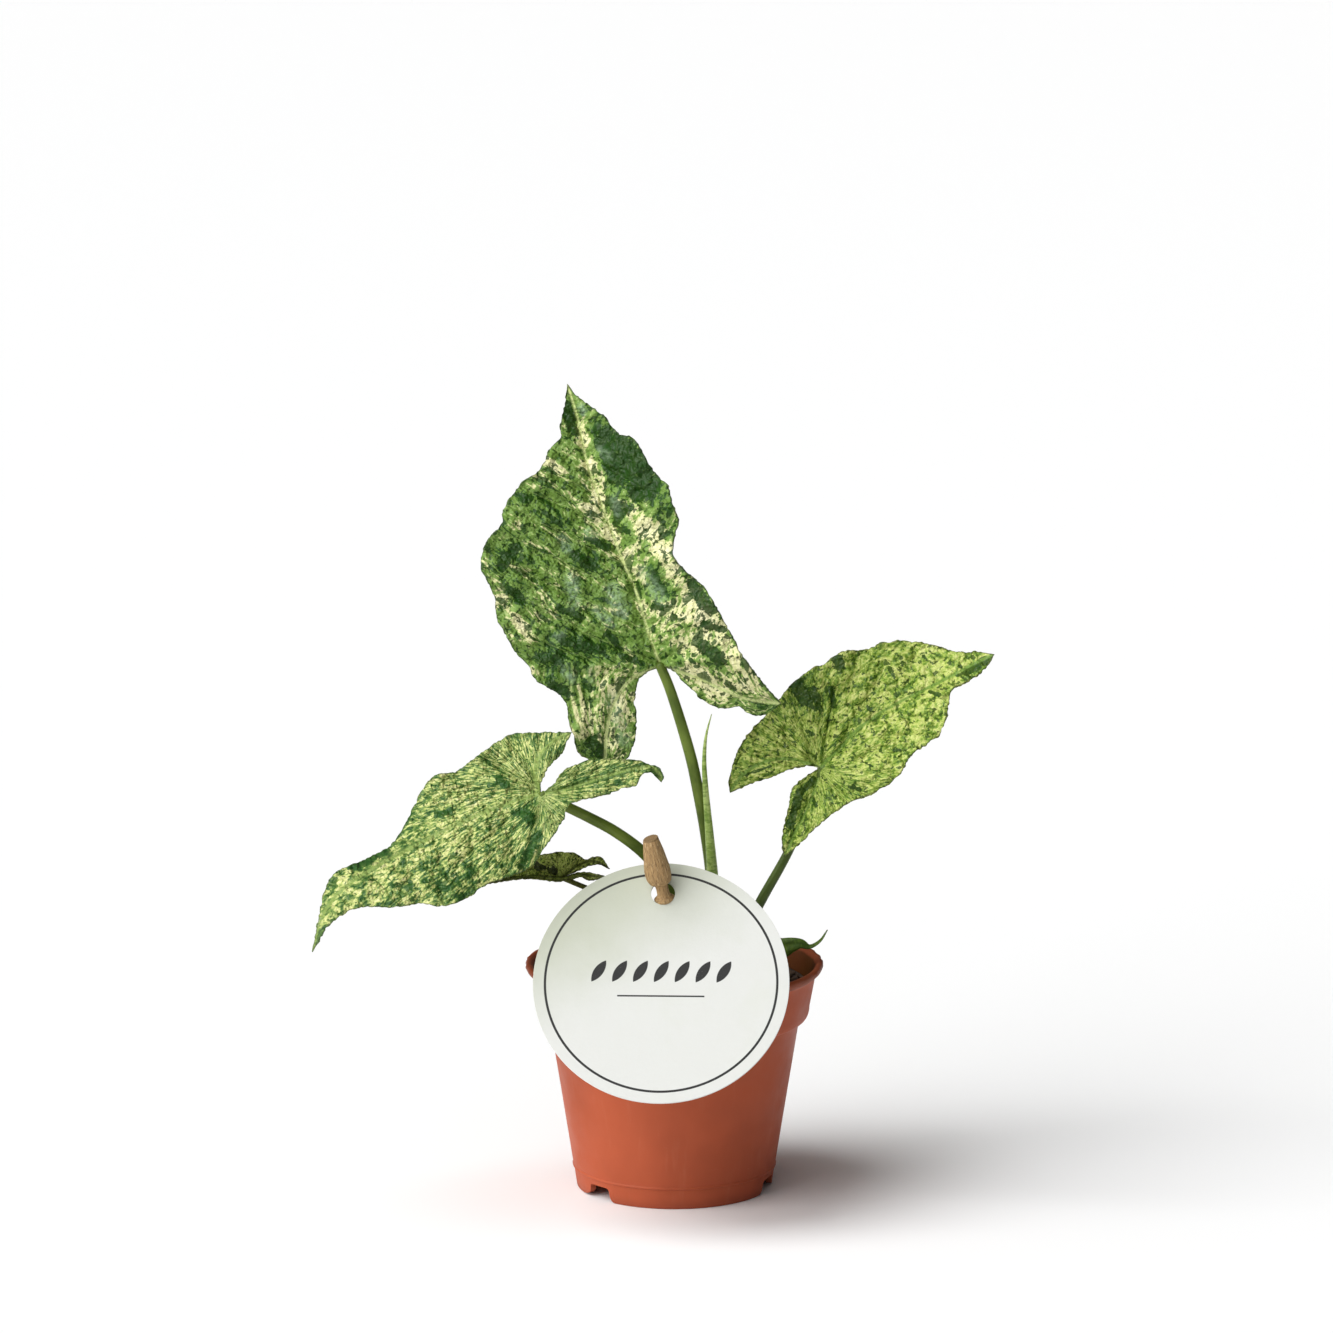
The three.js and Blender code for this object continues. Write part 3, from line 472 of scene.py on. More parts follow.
LOW_SHAPE = {
    **BLADE_SHAPE, "rows": 34, "lobe_rows": 20, "across": 12, "quilt": 0.4, "groove": 0.2,
    "channel": 0.3, "wave": 0.9, "wave_length": 9, "spacing_share": 0.5, "vein_reach": 14,
    "ragged": 0.4, "flow_fan": 14,
}

# ---- Lines and grids ----


def layered_noise(spot, layers):
    """Noise at a place, from layers of (scale, depth)."""
    return sum(noise.noise(spot * scale) * depth for scale, depth in layers)


def place(x, h, back):
    """Points in the frame, in metres, for drawn numbers or arrays x, h and back."""
    reach = 1 - np.asarray(back, dtype=float) / EYE.y
    seen = (EYE.x + (x - EYE.x) * reach, EYE.y - EYE.y * reach, EYE.z + (h - EYE.z) * reach)
    return np.stack(np.broadcast_arrays(*seen), axis=-1) * MM + np.array(POT_AXIS)


LINE_PARTS = 24


def dense_line(points):
    """Close points on the smooth line through the given ones, LINE_PARTS for each stretch."""
    knots = np.array(points, dtype=float)
    knots = np.vstack([2 * knots[0] - knots[1], knots, 2 * knots[-1] - knots[-2]])
    t = np.linspace(0, 1, LINE_PARTS, endpoint=False)[:, None]
    runs = []
    for before, start, end, after in zip(knots, knots[1:], knots[2:], knots[3:]):
        pairs = ((before, start), (start, end), (end, after))
        first, gap, last = (math.sqrt(max(np.linalg.norm(b - a), 1e-6)) for a, b in pairs)
        leave = (start - before) / first - (end - before) / (first + gap) + (end - start) / gap
        arrive = (end - start) / gap - (after - start) / (gap + last) + (after - end) / last
        runs.append(
            (2 * t**3 - 3 * t**2 + 1) * start + (t**3 - 2 * t**2 + t) * leave * gap
            + (3 * t**2 - 2 * t**3) * end + (t**3 - t**2) * arrive * gap
        )
    return np.vstack(runs + [knots[-2]])


def reach_along(points):
    """The distance of each point from the first, along the line."""
    return np.concatenate([[0], np.cumsum(np.linalg.norm(np.diff(points, axis=0), axis=1))])


def evenly(points, steps):
    """That many equal steps along a run of close points."""
    reach = reach_along(points)
    wanted = np.linspace(0, reach[-1], steps + 1)
    return np.column_stack([np.interp(wanted, reach, axis) for axis in points.T])


def smooth_line(points, steps):
    """A smooth line through drawn points, in that many equal steps."""
    return evenly(dense_line(points), steps)


def deselect_all():
    bpy.ops.object.select_all(action="DESELECT")


def mapped_grid(name, points, values=None):
    """A grid primitive laid on points, rows by columns by 3, with values kept as attributes."""
    rows, columns = points.shape[:2]
    deselect_all()
    bpy.ops.mesh.primitive_grid_add(x_subdivisions=columns - 1, y_subdivisions=rows - 1, size=1)
    piece = bpy.context.object
    piece.name = piece.data.name = name
    piece.data.uv_layers.remove(piece.data.uv_layers[0])
    piece.data.vertices.foreach_set("co", points.astype(np.float32).ravel())
    for key, value in (values or {}).items():
        keep_value(piece, key, value)
    return piece


def keep_value(piece, key, value):
    """Keeps a number or a vector for each vertex as an attribute that a material can read."""
    vector = value.size == 3 * len(piece.data.vertices)
    kind, field = ("FLOAT_VECTOR", "vector") if vector else ("FLOAT", "value")
    attribute = piece.data.attributes.new(key, kind, "POINT")
    attribute.data.foreach_set(field, value.astype(np.float32).ravel())


def keep_places(piece, key):
    """Keeps where each vertex is now, in mm, before the piece is turned and moved."""
    keep_value(piece, key, np.array([vertex.co for vertex in piece.data.vertices]) / MM)


def joined(name, parts):
    """One piece from several, with the places where they meet merged."""
    deselect_all()
    for part in parts:
        part.select_set(True)
    bpy.context.view_layer.objects.active = parts[0]
    if len(parts) > 1:
        bpy.ops.object.join()
    piece = bpy.context.object
    piece.name = piece.data.name = name
    merge_and_face_out(piece)
    return piece


def merge_and_face_out(piece):
    """Merges a mesh's doubled points and turns its faces outwards."""
    edit_all(piece)
    bpy.ops.mesh.remove_doubles(threshold=MERGE_GAP)
    bpy.ops.mesh.normals_make_consistent(inside=False)
    bpy.ops.object.mode_set(mode="OBJECT")


def edit_all(piece):
    """Opens a piece's mesh for editing, with all of it selected."""
    make_active(piece)
    bpy.ops.object.mode_set(mode="EDIT")
    bpy.ops.mesh.select_all(action="SELECT")


def make_active(piece):
    deselect_all()
    piece.select_set(True)
    bpy.context.view_layer.objects.active = piece


def apply_modifier(piece, kind, **values):
    """Puts one modifier on a piece and applies it."""
    make_active(piece)
    modifier = piece.modifiers.new(kind.title(), kind)
    for key, value in values.items():
        setattr(modifier, key, value)
    bpy.ops.object.modifier_apply(modifier=modifier.name)


def finish_piece(piece, material, nodes, sharp_angle=None):
    """Shades a piece, gives it its material, hangs it under the root, and hides the CAD nodes it
    stands for.
    """
    make_active(piece)
    if sharp_angle:
        bpy.ops.object.shade_smooth_by_angle(angle=math.radians(sharp_angle))
    else:
        bpy.ops.object.shade_smooth()
    if material:
        piece.data.materials.append(material)
    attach(piece, "root")
    if nodes:
        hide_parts(*nodes)


# ---- Materials ----


class Painter:
    """Adds nodes to one material and joins them to its shader."""

    def __init__(self, name, **sockets):
        self.material = bpy.data.materials.new(name)
        self.material.use_nodes = True
        self.tree = self.material.node_tree
        self.shader = self.tree.nodes["Principled BSDF"]
        for key, value in sockets.items():
            self.feed(self.shader.inputs[key.replace("_", " ")], value)

    def feed(self, socket, value):
        if isinstance(value, bpy.types.NodeSocket):
            self.tree.links.new(value, socket)
        elif socket.type == "RGBA" and len(value) == 3:
            socket.default_value = (*value, 1)
        else:
            socket.default_value = value

    def node(self, kind, inputs, **settings):
        """A new node, its settings made first and its inputs fed by name or number."""
        node = self.tree.nodes.new("ShaderNode" + kind)
        for key, value in settings.items():
            setattr(node, key, value)
        for key, value in inputs.items():
            self.feed(node.inputs[key], value)
        return node

    def object_place(self):
        return self.node("TexCoord", {}).outputs["Object"]

    def vector(self, name):
        return self.node("Attribute", {}, attribute_name=name).outputs["Vector"]

    def value(self, name):
        return self.node("Attribute", {}, attribute_name=name).outputs["Fac"]

    def noise(self, vector, scale, detail, rough, twist=0.0, stretch=None):
        if stretch:
            vector = self.node("Mapping", {"Vector": vector, "Scale": stretch}).outputs["Vector"]
        inputs = {"Vector": vector, "Scale": scale, "Detail": detail, "Roughness": rough}
        return self.node("TexNoise", {**inputs, "Distortion": twist}).outputs["Fac"]

    def cells(self, vector, scale):
        inputs = {"Vector": vector, "Scale": scale}
        return self.node("TexVoronoi", inputs, feature="DISTANCE_TO_EDGE").outputs["Distance"]

    def math(self, operation, first, second=0.0, third=0.0):
        inputs = {0: first, 1: second, 2: third}
        return self.node("Math", inputs, operation=operation).outputs[0]

    def apart(self, first, second):
        return self.math("ABSOLUTE", self.math("SUBTRACT", first, second))

    def hypotenuse(self, first, second):
        squares = self.math("MULTIPLY_ADD", first, first, self.math("MULTIPLY", second, second))
        return self.math("SQRT", squares)

    def step(self, value, low, high, start=0.0, end=1.0):
        """From start to end, smoothly, as a value goes from low to high. Low may be the greater."""
        inputs = {"Value": value, "From Min": low, "From Max": high, "To Min": start, "To Max": end}
        return self.node("MapRange", inputs, interpolation_type="SMOOTHSTEP").outputs["Result"]

    def under(self, value, limit, blur):
        """1 where a value is under a limit and 0 past it, with a soft border."""
        return self.step(value, limit + blur, limit - blur)

    def mix(self, share, first, second):
        return self.node("Mix", {0: share, 6: first, 7: second}, data_type="RGBA").outputs[2]

    def coat(self, base, *layers):
        """A base under layers. Each is (value, low, high, share, shade): the shade comes in, up to
        the share, as the value goes from low to high."""
        for value, low, high, share, shade in layers:
            base = self.mix(self.step(value, low, high, 0, share), base, shade)
        return base

    def ramp(self, value, stops):
        node = self.node("ValToRGB", {0: value})
        points = node.color_ramp.elements
        points[0].position, points[0].color = stops[0][0], (*stops[0][1], 1)
        points[1].position, points[1].color = stops[-1][0], (*stops[-1][1], 1)
        for position, shade in stops[1:-1]:
            points.new(position).color = (*shade, 1)
        return node.outputs["Color"]

    def paint(self, shade):
        self.feed(self.shader.inputs["Base Color"], shade)

    def emboss(self, height, depth):
        bump = self.node("Bump", {"Height": height, "Distance": depth, "Strength": 1.0})
        self.feed(self.shader.inputs["Normal"], bump.outputs["Normal"])


# A look is the colours and the noise of one leaf's upper face. "shades" are the ramp's stops, and
# "level" is where on it a leaf lies and how far "tone" shifts that. "patches" and "crumbs" have the
# scale and the weight of the noise that moves along it. "islands" and "dots" have the scale of
# their noise and the height from which it shows, and islands how far tone holds them back. "halo"
# is the width and the strength of the soft band along the main veins.
TALL_LOOK = {
    "shades": [
        (0.0, tint(30, 60, 12)), (0.19, tint(46, 84, 22)), (0.24, tint(96, 128, 52)),
        (0.45, tint(112, 144, 64)), (0.58, tint(138, 164, 88)), (0.63, tint(208, 208, 148)),
        (1.0, tint(238, 234, 186)),
    ],
    "level": (0.44, 0.42), "patches": (0.24, 1.4), "crumbs": (0.8, 0.85), "rough": 0.52,
    "islands": (0.25, 0.58, -0.03), "dots": (0.62, 0.58), "island": tint(46, 80, 26),
    "dark": tint(34, 64, 14), "deep": tint(28, 66, 10),
    "vein": tint(160, 182, 104), "rib": tint(196, 208, 138), "edge": tint(40, 58, 24),
    "vein_strength": 0.5, "halo": (1.1, 0.25),
}
LEFT_LOOK = {
    "shades": [
        (0.0, tint(42, 80, 34)), (0.22, tint(80, 114, 52)), (0.36, tint(116, 142, 72)),
        (0.46, tint(148, 166, 90)), (0.56, tint(186, 196, 116)), (0.8, tint(208, 210, 138)),
        (1.0, tint(220, 220, 158)),
    ],
    "level": (0.42, 0.4), "patches": (0.42, 2.3), "crumbs": (1.15, 2.1), "rough": 0.6,
    "islands": (0.4, 0.595, 0.1), "dots": (1.1, 0.6),
    "island": tint(50, 90, 34), "dark": tint(46, 86, 32), "deep": tint(30, 74, 24),
    "vein": tint(142, 162, 88), "rib": tint(134, 156, 82), "edge": tint(60, 84, 34),
    "vein_strength": 0.3, "halo": (1.6, 0.3),
}
RIGHT_LOOK = {
    "shades": [
        (0.0, tint(50, 80, 22)), (0.24, tint(86, 118, 36)), (0.38, tint(120, 148, 54)),
        (0.52, tint(152, 174, 76)), (0.66, tint(184, 196, 104)), (1.0, tint(208, 214, 134)),
    ],
    "level": (0.5, 0.4), "patches": (0.36, 1.9), "crumbs": (1.1, 1.3), "rough": 0.55,
    "islands": (0.5, 0.61, 0.1), "dots": (0.62, 0.598),
    "island": tint(58, 84, 22), "dark": tint(50, 76, 18), "deep": tint(32, 66, 16),
    "vein": tint(108, 142, 56), "rib": tint(112, 144, 62), "edge": tint(62, 66, 28),
    "vein_strength": 0.3, "halo": (1.2, 0.15),
}
LOW_LOOK = {
    "shades": [
        (0.0, tint(44, 56, 16)), (0.26, tint(76, 94, 30)), (0.42, tint(118, 136, 52)),
        (0.56, tint(156, 170, 78)), (1.0, tint(190, 198, 114)),
    ],
    "level": (0.6, 0.4), "patches": (0.5, 2.4), "crumbs": (1.6, 2.4), "rough": 0.6,
    "islands": (0.7, 0.62, 0.1), "dots": (1.8, 0.62),
    "island": tint(44, 52, 16), "dark": tint(38, 44, 14), "deep": tint(36, 44, 16),
    "vein": tint(96, 104, 44), "rib": tint(76, 84, 30), "edge": tint(44, 40, 18),
    "vein_strength": 0.1, "halo": (1.0, 0.2),
}


CRISP = 0.02  # how far a noise value goes across a crisp border


def leaf_face_material(name, look, vein_spacing):
    """The upper face of a mottled blade: crisp shades of green and cream, spots and veins."""
    paint = Painter(name, Roughness=0.4, Specular_IOR_Level=0.22)
    spot, flow = paint.vector("leaf_place"), paint.vector("flow_place")
    tone = paint.value("tone")
    shade = mottled(paint, look, flow, tone)
    scale, island, tone_share = look["islands"]
    islands = paint.math("MULTIPLY_ADD", tone, -tone_share, paint.noise(flow, scale, 4, 0.58, 0.6))
    scale, dot = look["dots"]
    dots = paint.noise(spot, scale, 2, 0.5, 0.3)
    shade = paint.coat(
        shade,
        (islands, island, island + CRISP, 0.9, look["island"]),
        (dots, dot, dot + CRISP, 0.88, look["dark"]),
    )
    shade = side_veined(paint, look, spot, shade, vein_spacing)
    shade = patched(paint, look, spot, shade)
    paint.paint(outlined(paint, look, shade))
    cells = paint.step(paint.cells(spot, 0.62), 0.0, 0.35, 0, 0.3)
    height = paint.math("MULTIPLY_ADD", paint.noise(spot, 0.3, 2, 0.5), 4.2, cells)
    paint.emboss(height, 0.8 * MM)
    return paint.material


def mottled(paint, look, flow, tone):
    """Patches broken into crumbs, coloured by a ramp with crisp steps."""
    bias, gain = look["level"]
    (scale, weight), (fine_scale, fine_weight) = look["patches"], look["crumbs"]
    patches = paint.noise(flow, scale, 5, look["rough"], 0.8)
    crumbs = paint.noise(flow, fine_scale, 3, 0.55, 0.4)
    level = paint.math("MULTIPLY_ADD", tone, gain, bias - 0.5 * (weight + fine_weight))
    level = paint.math("MULTIPLY_ADD", patches, weight, level)
    level = paint.math("MULTIPLY_ADD", crumbs, fine_weight, level)
    return paint.ramp(level, look["shades"])


def patched(paint, look, spot, shade):
    """Solid dark patches with ragged borders, and painted highlights in a thin grey-green sheen."""
    ragged = paint.noise(spot, 0.42, 5, 0.66, 0.4)
    patch = paint.math("MULTIPLY_ADD", ragged, 2.6, paint.value("deep"))
    inside = paint.noise(spot, 0.6, 4, 0.65)
    patch_shade = paint.coat(
        look["deep"],
        (inside, 0.42, 0.5, 1, look["dark"]),
        (inside, 0.62, 0.66, 0.5, look["shades"][2][1]),
    )
    shade = paint.coat(shade, (patch, 1.42, 1.5, 0.94, patch_shade))
    # Painted highlights: a pale grey-green sheen laid where the highlight strokes are.
    highlight_share = paint.math("MULTIPLY", paint.value("painted_highlight"), paint.step(inside, 0.4, 0.56, 0.15, 0.6))
    return paint.mix(highlight_share, shade, tint(158, 184, 150))


def side_veined(paint, look, spot, shade, vein_spacing):
    """Thin pale side veins that wander a little and fade towards the margin."""
    wander = paint.math("MULTIPLY_ADD", paint.noise(spot, 0.09, 2, 0.5), 0.5, 0.25)
    turn = paint.math("FRACT", paint.math("ADD", paint.value("vein_phase"), wander))
    to_vein = paint.math("MULTIPLY", paint.apart(turn, 0.5), vein_spacing)
    vein = paint.step(to_vein, 0.4, 0.1, 0, look["vein_strength"])
    return paint.mix(paint.math("MULTIPLY", vein, paint.value("vein_fade")), shade, look["vein"])


def outlined(paint, look, shade):
    """The main veins, thin in a wider soft band, and a thin dark margin."""
    rib = paint.value("rib_distance")
    reach, strength = look["halo"]
    return paint.coat(
        shade,
        (rib, reach, 0.3, strength, look["rib"]),
        (rib, 0.65, 0.25, 0.85, look["rib"]),
        (paint.value("edge_distance"), 0.45, 0.1, 0.7, look["edge"]),
    )


def leaf_back_material(name, look):
    """The paler, duller underside of a blade, with the markings showing faintly through."""
    paint = Painter(name, Roughness=0.6)
    blotches = paint.noise(paint.vector("flow_place"), look["patches"][0], 5, 0.62, 0.5)
    tone = paint.math("ADD", paint.value("tone"), blotches)
    pale = paint.mix(0.55, look["shades"][2][1], tint(150, 172, 128))
    light = paint.mix(0.5, look["shades"][3][1], tint(190, 200, 160))
    paint.paint(paint.coat(
        pale,
        (tone, 0.3, 0.75, 1, light),
        (paint.value("deep"), 0.0, 0.5, 0.35, look["deep"]),
        (paint.value("rib_distance"), 1.0, 0.3, 0.8, tint(176, 188, 128)),
    ))
    paint.emboss(paint.step(paint.cells(paint.vector("leaf_place"), 0.55), 0.0, 0.35), 0.1 * MM)
    return paint.material


def stalk_material(name, shade, pale, dark, banding):
    """A stalk: fine lengthwise stripes, small dark flecks and, on a young leaf, bands across."""
    paint = Painter(name, Roughness=0.45, Specular_IOR_Level=0.25)
    spot = paint.vector("stalk_place")
    stripes = paint.noise(spot, 2.4, 3, 0.6, stretch=(1, 0.03, 1))
    clouds = paint.noise(spot, 0.16, 3, 0.55, stretch=(1, 0.5, 1))
    bands = paint.noise(spot, 1.1, 4, 0.65, 0.5, stretch=(0.35, 1, 0.35))
    flecks = paint.noise(spot, 1.9, 2, 0.5, stretch=(1, 0.4, 1))
    paint.paint(paint.coat(
        shade,
        (clouds, 0.35, 0.7, 1, pale),
        (stripes, 0.5, 0.75, 0.35, dark),
        (bands, 0.5, 0.6, banding, dark),
        (bands, 0.47, 0.4, banding, pale),
        (flecks, 0.66, 0.72, 0.35, dark),
    ))
    paint.emboss(stripes, 0.1 * MM)
    return paint.material


def plastic_material(shade):
    """Thin moulded terracotta plastic: satin, faintly cloudy, with rubbed patches and faint
    streaks, darker towards the foot and a darker brown inside and on the lip.
    """
    paint = Painter("terracotta_plastic", Specular_IOR_Level=0.15)
    spot = paint.object_place()
    clouds = paint.noise(spot, 35, 3, 0.55)
    streaks = paint.noise(spot, 260, 3, 0.6, stretch=(1, 1, 0.12))
    scuffs = paint.noise(spot, 120, 5, 0.7, stretch=(1, 1, 3))
    base = paint.coat(
        shade,
        (clouds, 0.35, 0.7, 1, shaded(shade, 0.84)),
        (streaks, 0.55, 0.8, 0.07, tint(220, 150, 120)),
        (scuffs, 0.66, 0.78, 0.1, tint(214, 160, 136)),
    )
    height = paint.node("SeparateXYZ", {0: spot}).outputs["Z"]
    # Darker brown over the bottom 4 mm, where the clouds are.
    darker_near_foot = paint.math("MULTIPLY", paint.step(height, 4 * MM, 0.0, 0, 0.5), clouds)
    base = paint.mix(darker_near_foot, base, tint(96, 52, 38))
    # The inner face above the soil is a darker brown, and the lip about half as much.
    browner_inside = paint.math("MULTIPLY", paint.value("inside"), paint.step(clouds, 0.1, 0.6, 0.8, 1))
    paint.paint(paint.mix(browner_inside, base, tint(76, 40, 4)))
    gloss = paint.noise(spot, 90, 4, 0.6)
    paint.feed(paint.shader.inputs["Roughness"], paint.step(gloss, 0.3, 0.75, 0.42, 0.6))
    fine = paint.noise(spot, 1500, 2, 0.5)
    paint.emboss(paint.math("MULTIPLY_ADD", fine, 0.3, paint.noise(spot, 240, 3, 0.5)), 0.06 * MM)
    return paint.material


def peat_material(shade):
    """Moist peat: near black, with browner fibres and crumbs."""
    paint = Painter("peat_mix", Roughness=0.92)
    spot = paint.object_place()
    paint.paint(paint.coat(
        shade,
        (paint.noise(spot, 260, 5, 0.7), 0.4, 0.7, 1, tint(96, 70, 48)),
        (paint.noise(spot, 900, 3, 0.6, stretch=(1, 0.2, 1)), 0.6, 0.72, 0.6, tint(126, 98, 68)),
    ))
    paint.emboss(paint.noise(spot, 900, 4, 0.7), 0.6 * MM)
    return paint.material


def perlite_material():
    """Pale grains of expanded glass, a little soiled."""
    paint = Painter("perlite", Roughness=0.9)
    spot = paint.object_place()
    paint.paint(paint.mix(paint.noise(spot, 700, 3, 0.6), tint(206, 204, 190), tint(150, 150, 128)))
    paint.emboss(paint.noise(spot, 1500, 3, 0.7), 0.2 * MM)
    return paint.material


def card_material(settings):
    """White card with a thin printed ring, a row of plain leaf shapes over a rule, and a painted
    leaf shadow at its upper left.
    """
    paint = Painter("card", Roughness=0.62)
    spot = paint.vector("card_place")
    across, up, side = paint.node("SeparateXYZ", {0: spot}).outputs
    fibres = paint.noise(spot, 0.9, 5, 0.7)
    smudge_and_shadow_noise = paint.noise(spot, 0.05, 3, 0.6)
    # Painted shadow: the leaves' grey-green shade, laid on the card towards its upper left with a
    # ragged border.
    to_upper_left = paint.math("MULTIPLY_ADD", across, -0.6, up)
    painted_leaf_shadow = paint.math("MULTIPLY_ADD", smudge_and_shadow_noise, 20, to_upper_left)
    base = paint.coat(
        settings.card,
        (fibres, 0.3, 0.8, 0.1, tint(204, 204, 195)),
        (smudge_and_shadow_noise, 0.52, 0.75, 0.12, tint(196, 202, 178)),
        # the painted shadow of the leaves
        (painted_leaf_shadow, 4, 52, 0.7, tint(172, 178, 152)),
    )
    from_ring = paint.apart(paint.hypotenuse(across, up), settings.ring_radius / MM)
    ring = paint.under(from_ring, RING_HALF_WIDTH, 0.04)
    printed = paint.math("MAXIMUM", ring, printed_leaves(paint, across, up))
    printed = paint.math("MULTIPLY", printed, paint.step(side, -0.1, 0.1))
    worn = paint.step(paint.noise(spot, 3.0, 3, 0.6), 0.25, 0.4, 0.9, 0.99)
    paint.paint(paint.mix(paint.math("MULTIPLY", printed, worn), base, settings.ink))
    paint.emboss(fibres, 0.05 * MM)
    return paint.material


RING_HALF_WIDTH = 0.36
LEAF_COUNT, LEAF_SPACING, LEAF_LEAN = 7, 6.2, math.radians(32)
LEAF_HALF_LENGTH, LEAF_HALF_WIDTH, LEAF_UP = 4, 1.45, 3.4
RULE_UP, RULE_HALF_WIDTH, RULE_REACH = -4.4, 0.25, 12.95


def printed_leaves(paint, across, up):
    """A row of leaning leaf shapes, each an overlap of two circles, over a short rule."""
    radius = (LEAF_HALF_LENGTH**2 + LEAF_HALF_WIDTH**2) / (2 * LEAF_HALF_WIDTH)
    cell = paint.math("ROUND", paint.math("DIVIDE", across, LEAF_SPACING))
    within = paint.math("MULTIPLY_ADD", cell, -LEAF_SPACING, across)
    height = paint.math("SUBTRACT", up, LEAF_UP)
    lean, rise = math.sin(LEAF_LEAN), math.cos(LEAF_LEAN)
    over = paint.math("MULTIPLY_ADD", within, rise, paint.math("MULTIPLY", height, -lean))
    along = paint.math("MULTIPLY_ADD", within, lean, paint.math("MULTIPLY", height, rise))
    sideways = paint.math("ADD", paint.math("ABSOLUTE", over), radius - LEAF_HALF_WIDTH)
    outside = paint.math("SUBTRACT", paint.hypotenuse(sideways, along), radius)
    row_end = LEAF_COUNT / 2 - 0.25
    row = paint.under(paint.math("ABSOLUTE", cell), row_end, 0.15)
    leaves = paint.math("MULTIPLY", paint.under(outside, 0, 0.06), row)
    rule = paint.under(paint.apart(up, RULE_UP), RULE_HALF_WIDTH, 0.05)
    reach = paint.under(paint.math("ABSOLUTE", across), RULE_REACH, 0.05)
    return paint.math("MAXIMUM", leaves, paint.math("MULTIPLY", rule, reach))


def peg_material(shade):
    """Whittled pale wood with long grain, pores, a few darker knife marks and a painted sheen along
    the grain.
    """
    paint = Painter("peg_wood", Roughness=0.68)
    spot = paint.vector("peg_place")
    grain = paint.noise(spot, 2.2, 5, 0.65, 0.6, stretch=(1, 1, 0.09))
    pores = paint.noise(spot, 3.4, 3, 0.6, stretch=(1, 1, 0.12))
    # Painted highlight: a lighter sheen in streaks along the grain.
    sheen = paint.noise(spot, 2.6, 3, 0.6, 0.3, stretch=(1, 1, 0.1))
    height = paint.node("SeparateXYZ", {0: spot}).outputs["Z"]
    wood = paint.ramp(grain, [
        (0.3, shaded(shade, 0.62)), (0.48, shade), (0.62, shaded(shade, 1.22)),
        (0.8, shaded(shade, 0.8)),
    ])
    paint.paint(paint.coat(
        wood,
        (pores, 0.54, 0.62, 0.7, tint(98, 72, 40)),
        (sheen, 0.56, 0.64, 0.6, tint(204, 176, 128)),
        (height, PEG_TOP - 0.55, PEG_TOP - 0.3, 0.6, tint(92, 70, 40)),
    ))
    paint.emboss(paint.math("MULTIPLY_ADD", grain, 0.6, pores), 0.22 * MM)
    return paint.material


# ---- Blades ----


def whole_halves(blade):
    """The two halves of a blade, with the ends that their lines share put in."""
    tip, junction = blade["midrib"][0], blade["midrib"][-1]
    halves = []
    for half in (blade["left"], blade["right"]):
        lobe_tip = half["vein"][-1][:2]
        halves.append({
            **half,
            "margin": [tip[:2], *half["margin"], lobe_tip],
            "vein": [junction, *half["vein"]],
            "inner": [junction[:2], *half["inner"], lobe_tip],
        })
    return halves


def strip(spine, margin, lift, across, midrib):
    """A strip of drawn points from a spine to a margin, as arrays of rows by steps across.

    "t" is the share of the way across, "arc" the distance along the margin, "radial" the distance
    from the junction, and "bearing" the direction from there, in radians from the leaf's tip.
    """
    t = np.linspace(0, 1, across + 1)[None, :]
    x = spine[:, 0:1] + (margin[:, 0:1] - spine[:, 0:1]) * t
    h = spine[:, 1:2] + (margin[:, 1:2] - spine[:, 1:2]) * t
    rise = t * (1.5 - 0.5 * t)  # steeper at the spine
    back = spine[:, 2:3] - lift[:, None] * rise
    t = np.broadcast_to(t, x.shape)
    arc = np.broadcast_to(reach_along(margin)[:, None], x.shape)
    junction = midrib[-1]
    toward_tip = complex(*(midrib[0] - junction)[:2])
    reach = (x - junction[0]) + 1j * (h - junction[1])
    bearing = np.angle(reach / toward_tip)
    part = {"x": x, "h": h, "back": back, "t": t, "arc": arc}
    return {**part, "radial": np.abs(reach), "bearing": bearing}


COARSE_NICKS, FINE_NICKS, FINE_SHARE = 0.42, 1.1, 0.6
NICKS_FADE = 3  # mm from each end of the margin


def nicked(margin, depth):
    """A margin moved in and out a little, but not at its two ends."""
    reach = reach_along(margin)
    tangent = np.gradient(margin, axis=0)
    tangent /= np.linalg.norm(tangent, axis=1)[:, None]
    start = margin[0, 0]
    wobble = [
        noise.noise((r * COARSE_NICKS, 0, start)) + FINE_SHARE * noise.noise((r * FINE_NICKS, 7, 0))
        for r in reach
    ]
    hold = np.clip(np.minimum(reach, reach[-1] - reach) / NICKS_FADE, 0, 1)
    offset = np.array(wobble) * hold * depth
    return margin + np.column_stack([tangent[:, 1], -tangent[:, 0]]) * offset[:, None]


def blade_strips(midrib, halves, shape):
    """The four strips of a blade. Each has a vein phase, in mm, and a distance along the veins."""
    midrib = smooth_line(midrib, shape["rows"])
    strips = []
    for half in halves:
        vein = smooth_line(half["vein"], shape["lobe_rows"])
        strips += [outer_strip(half, midrib, vein, shape), inner_strip(half, midrib, vein, shape)]
    return strips


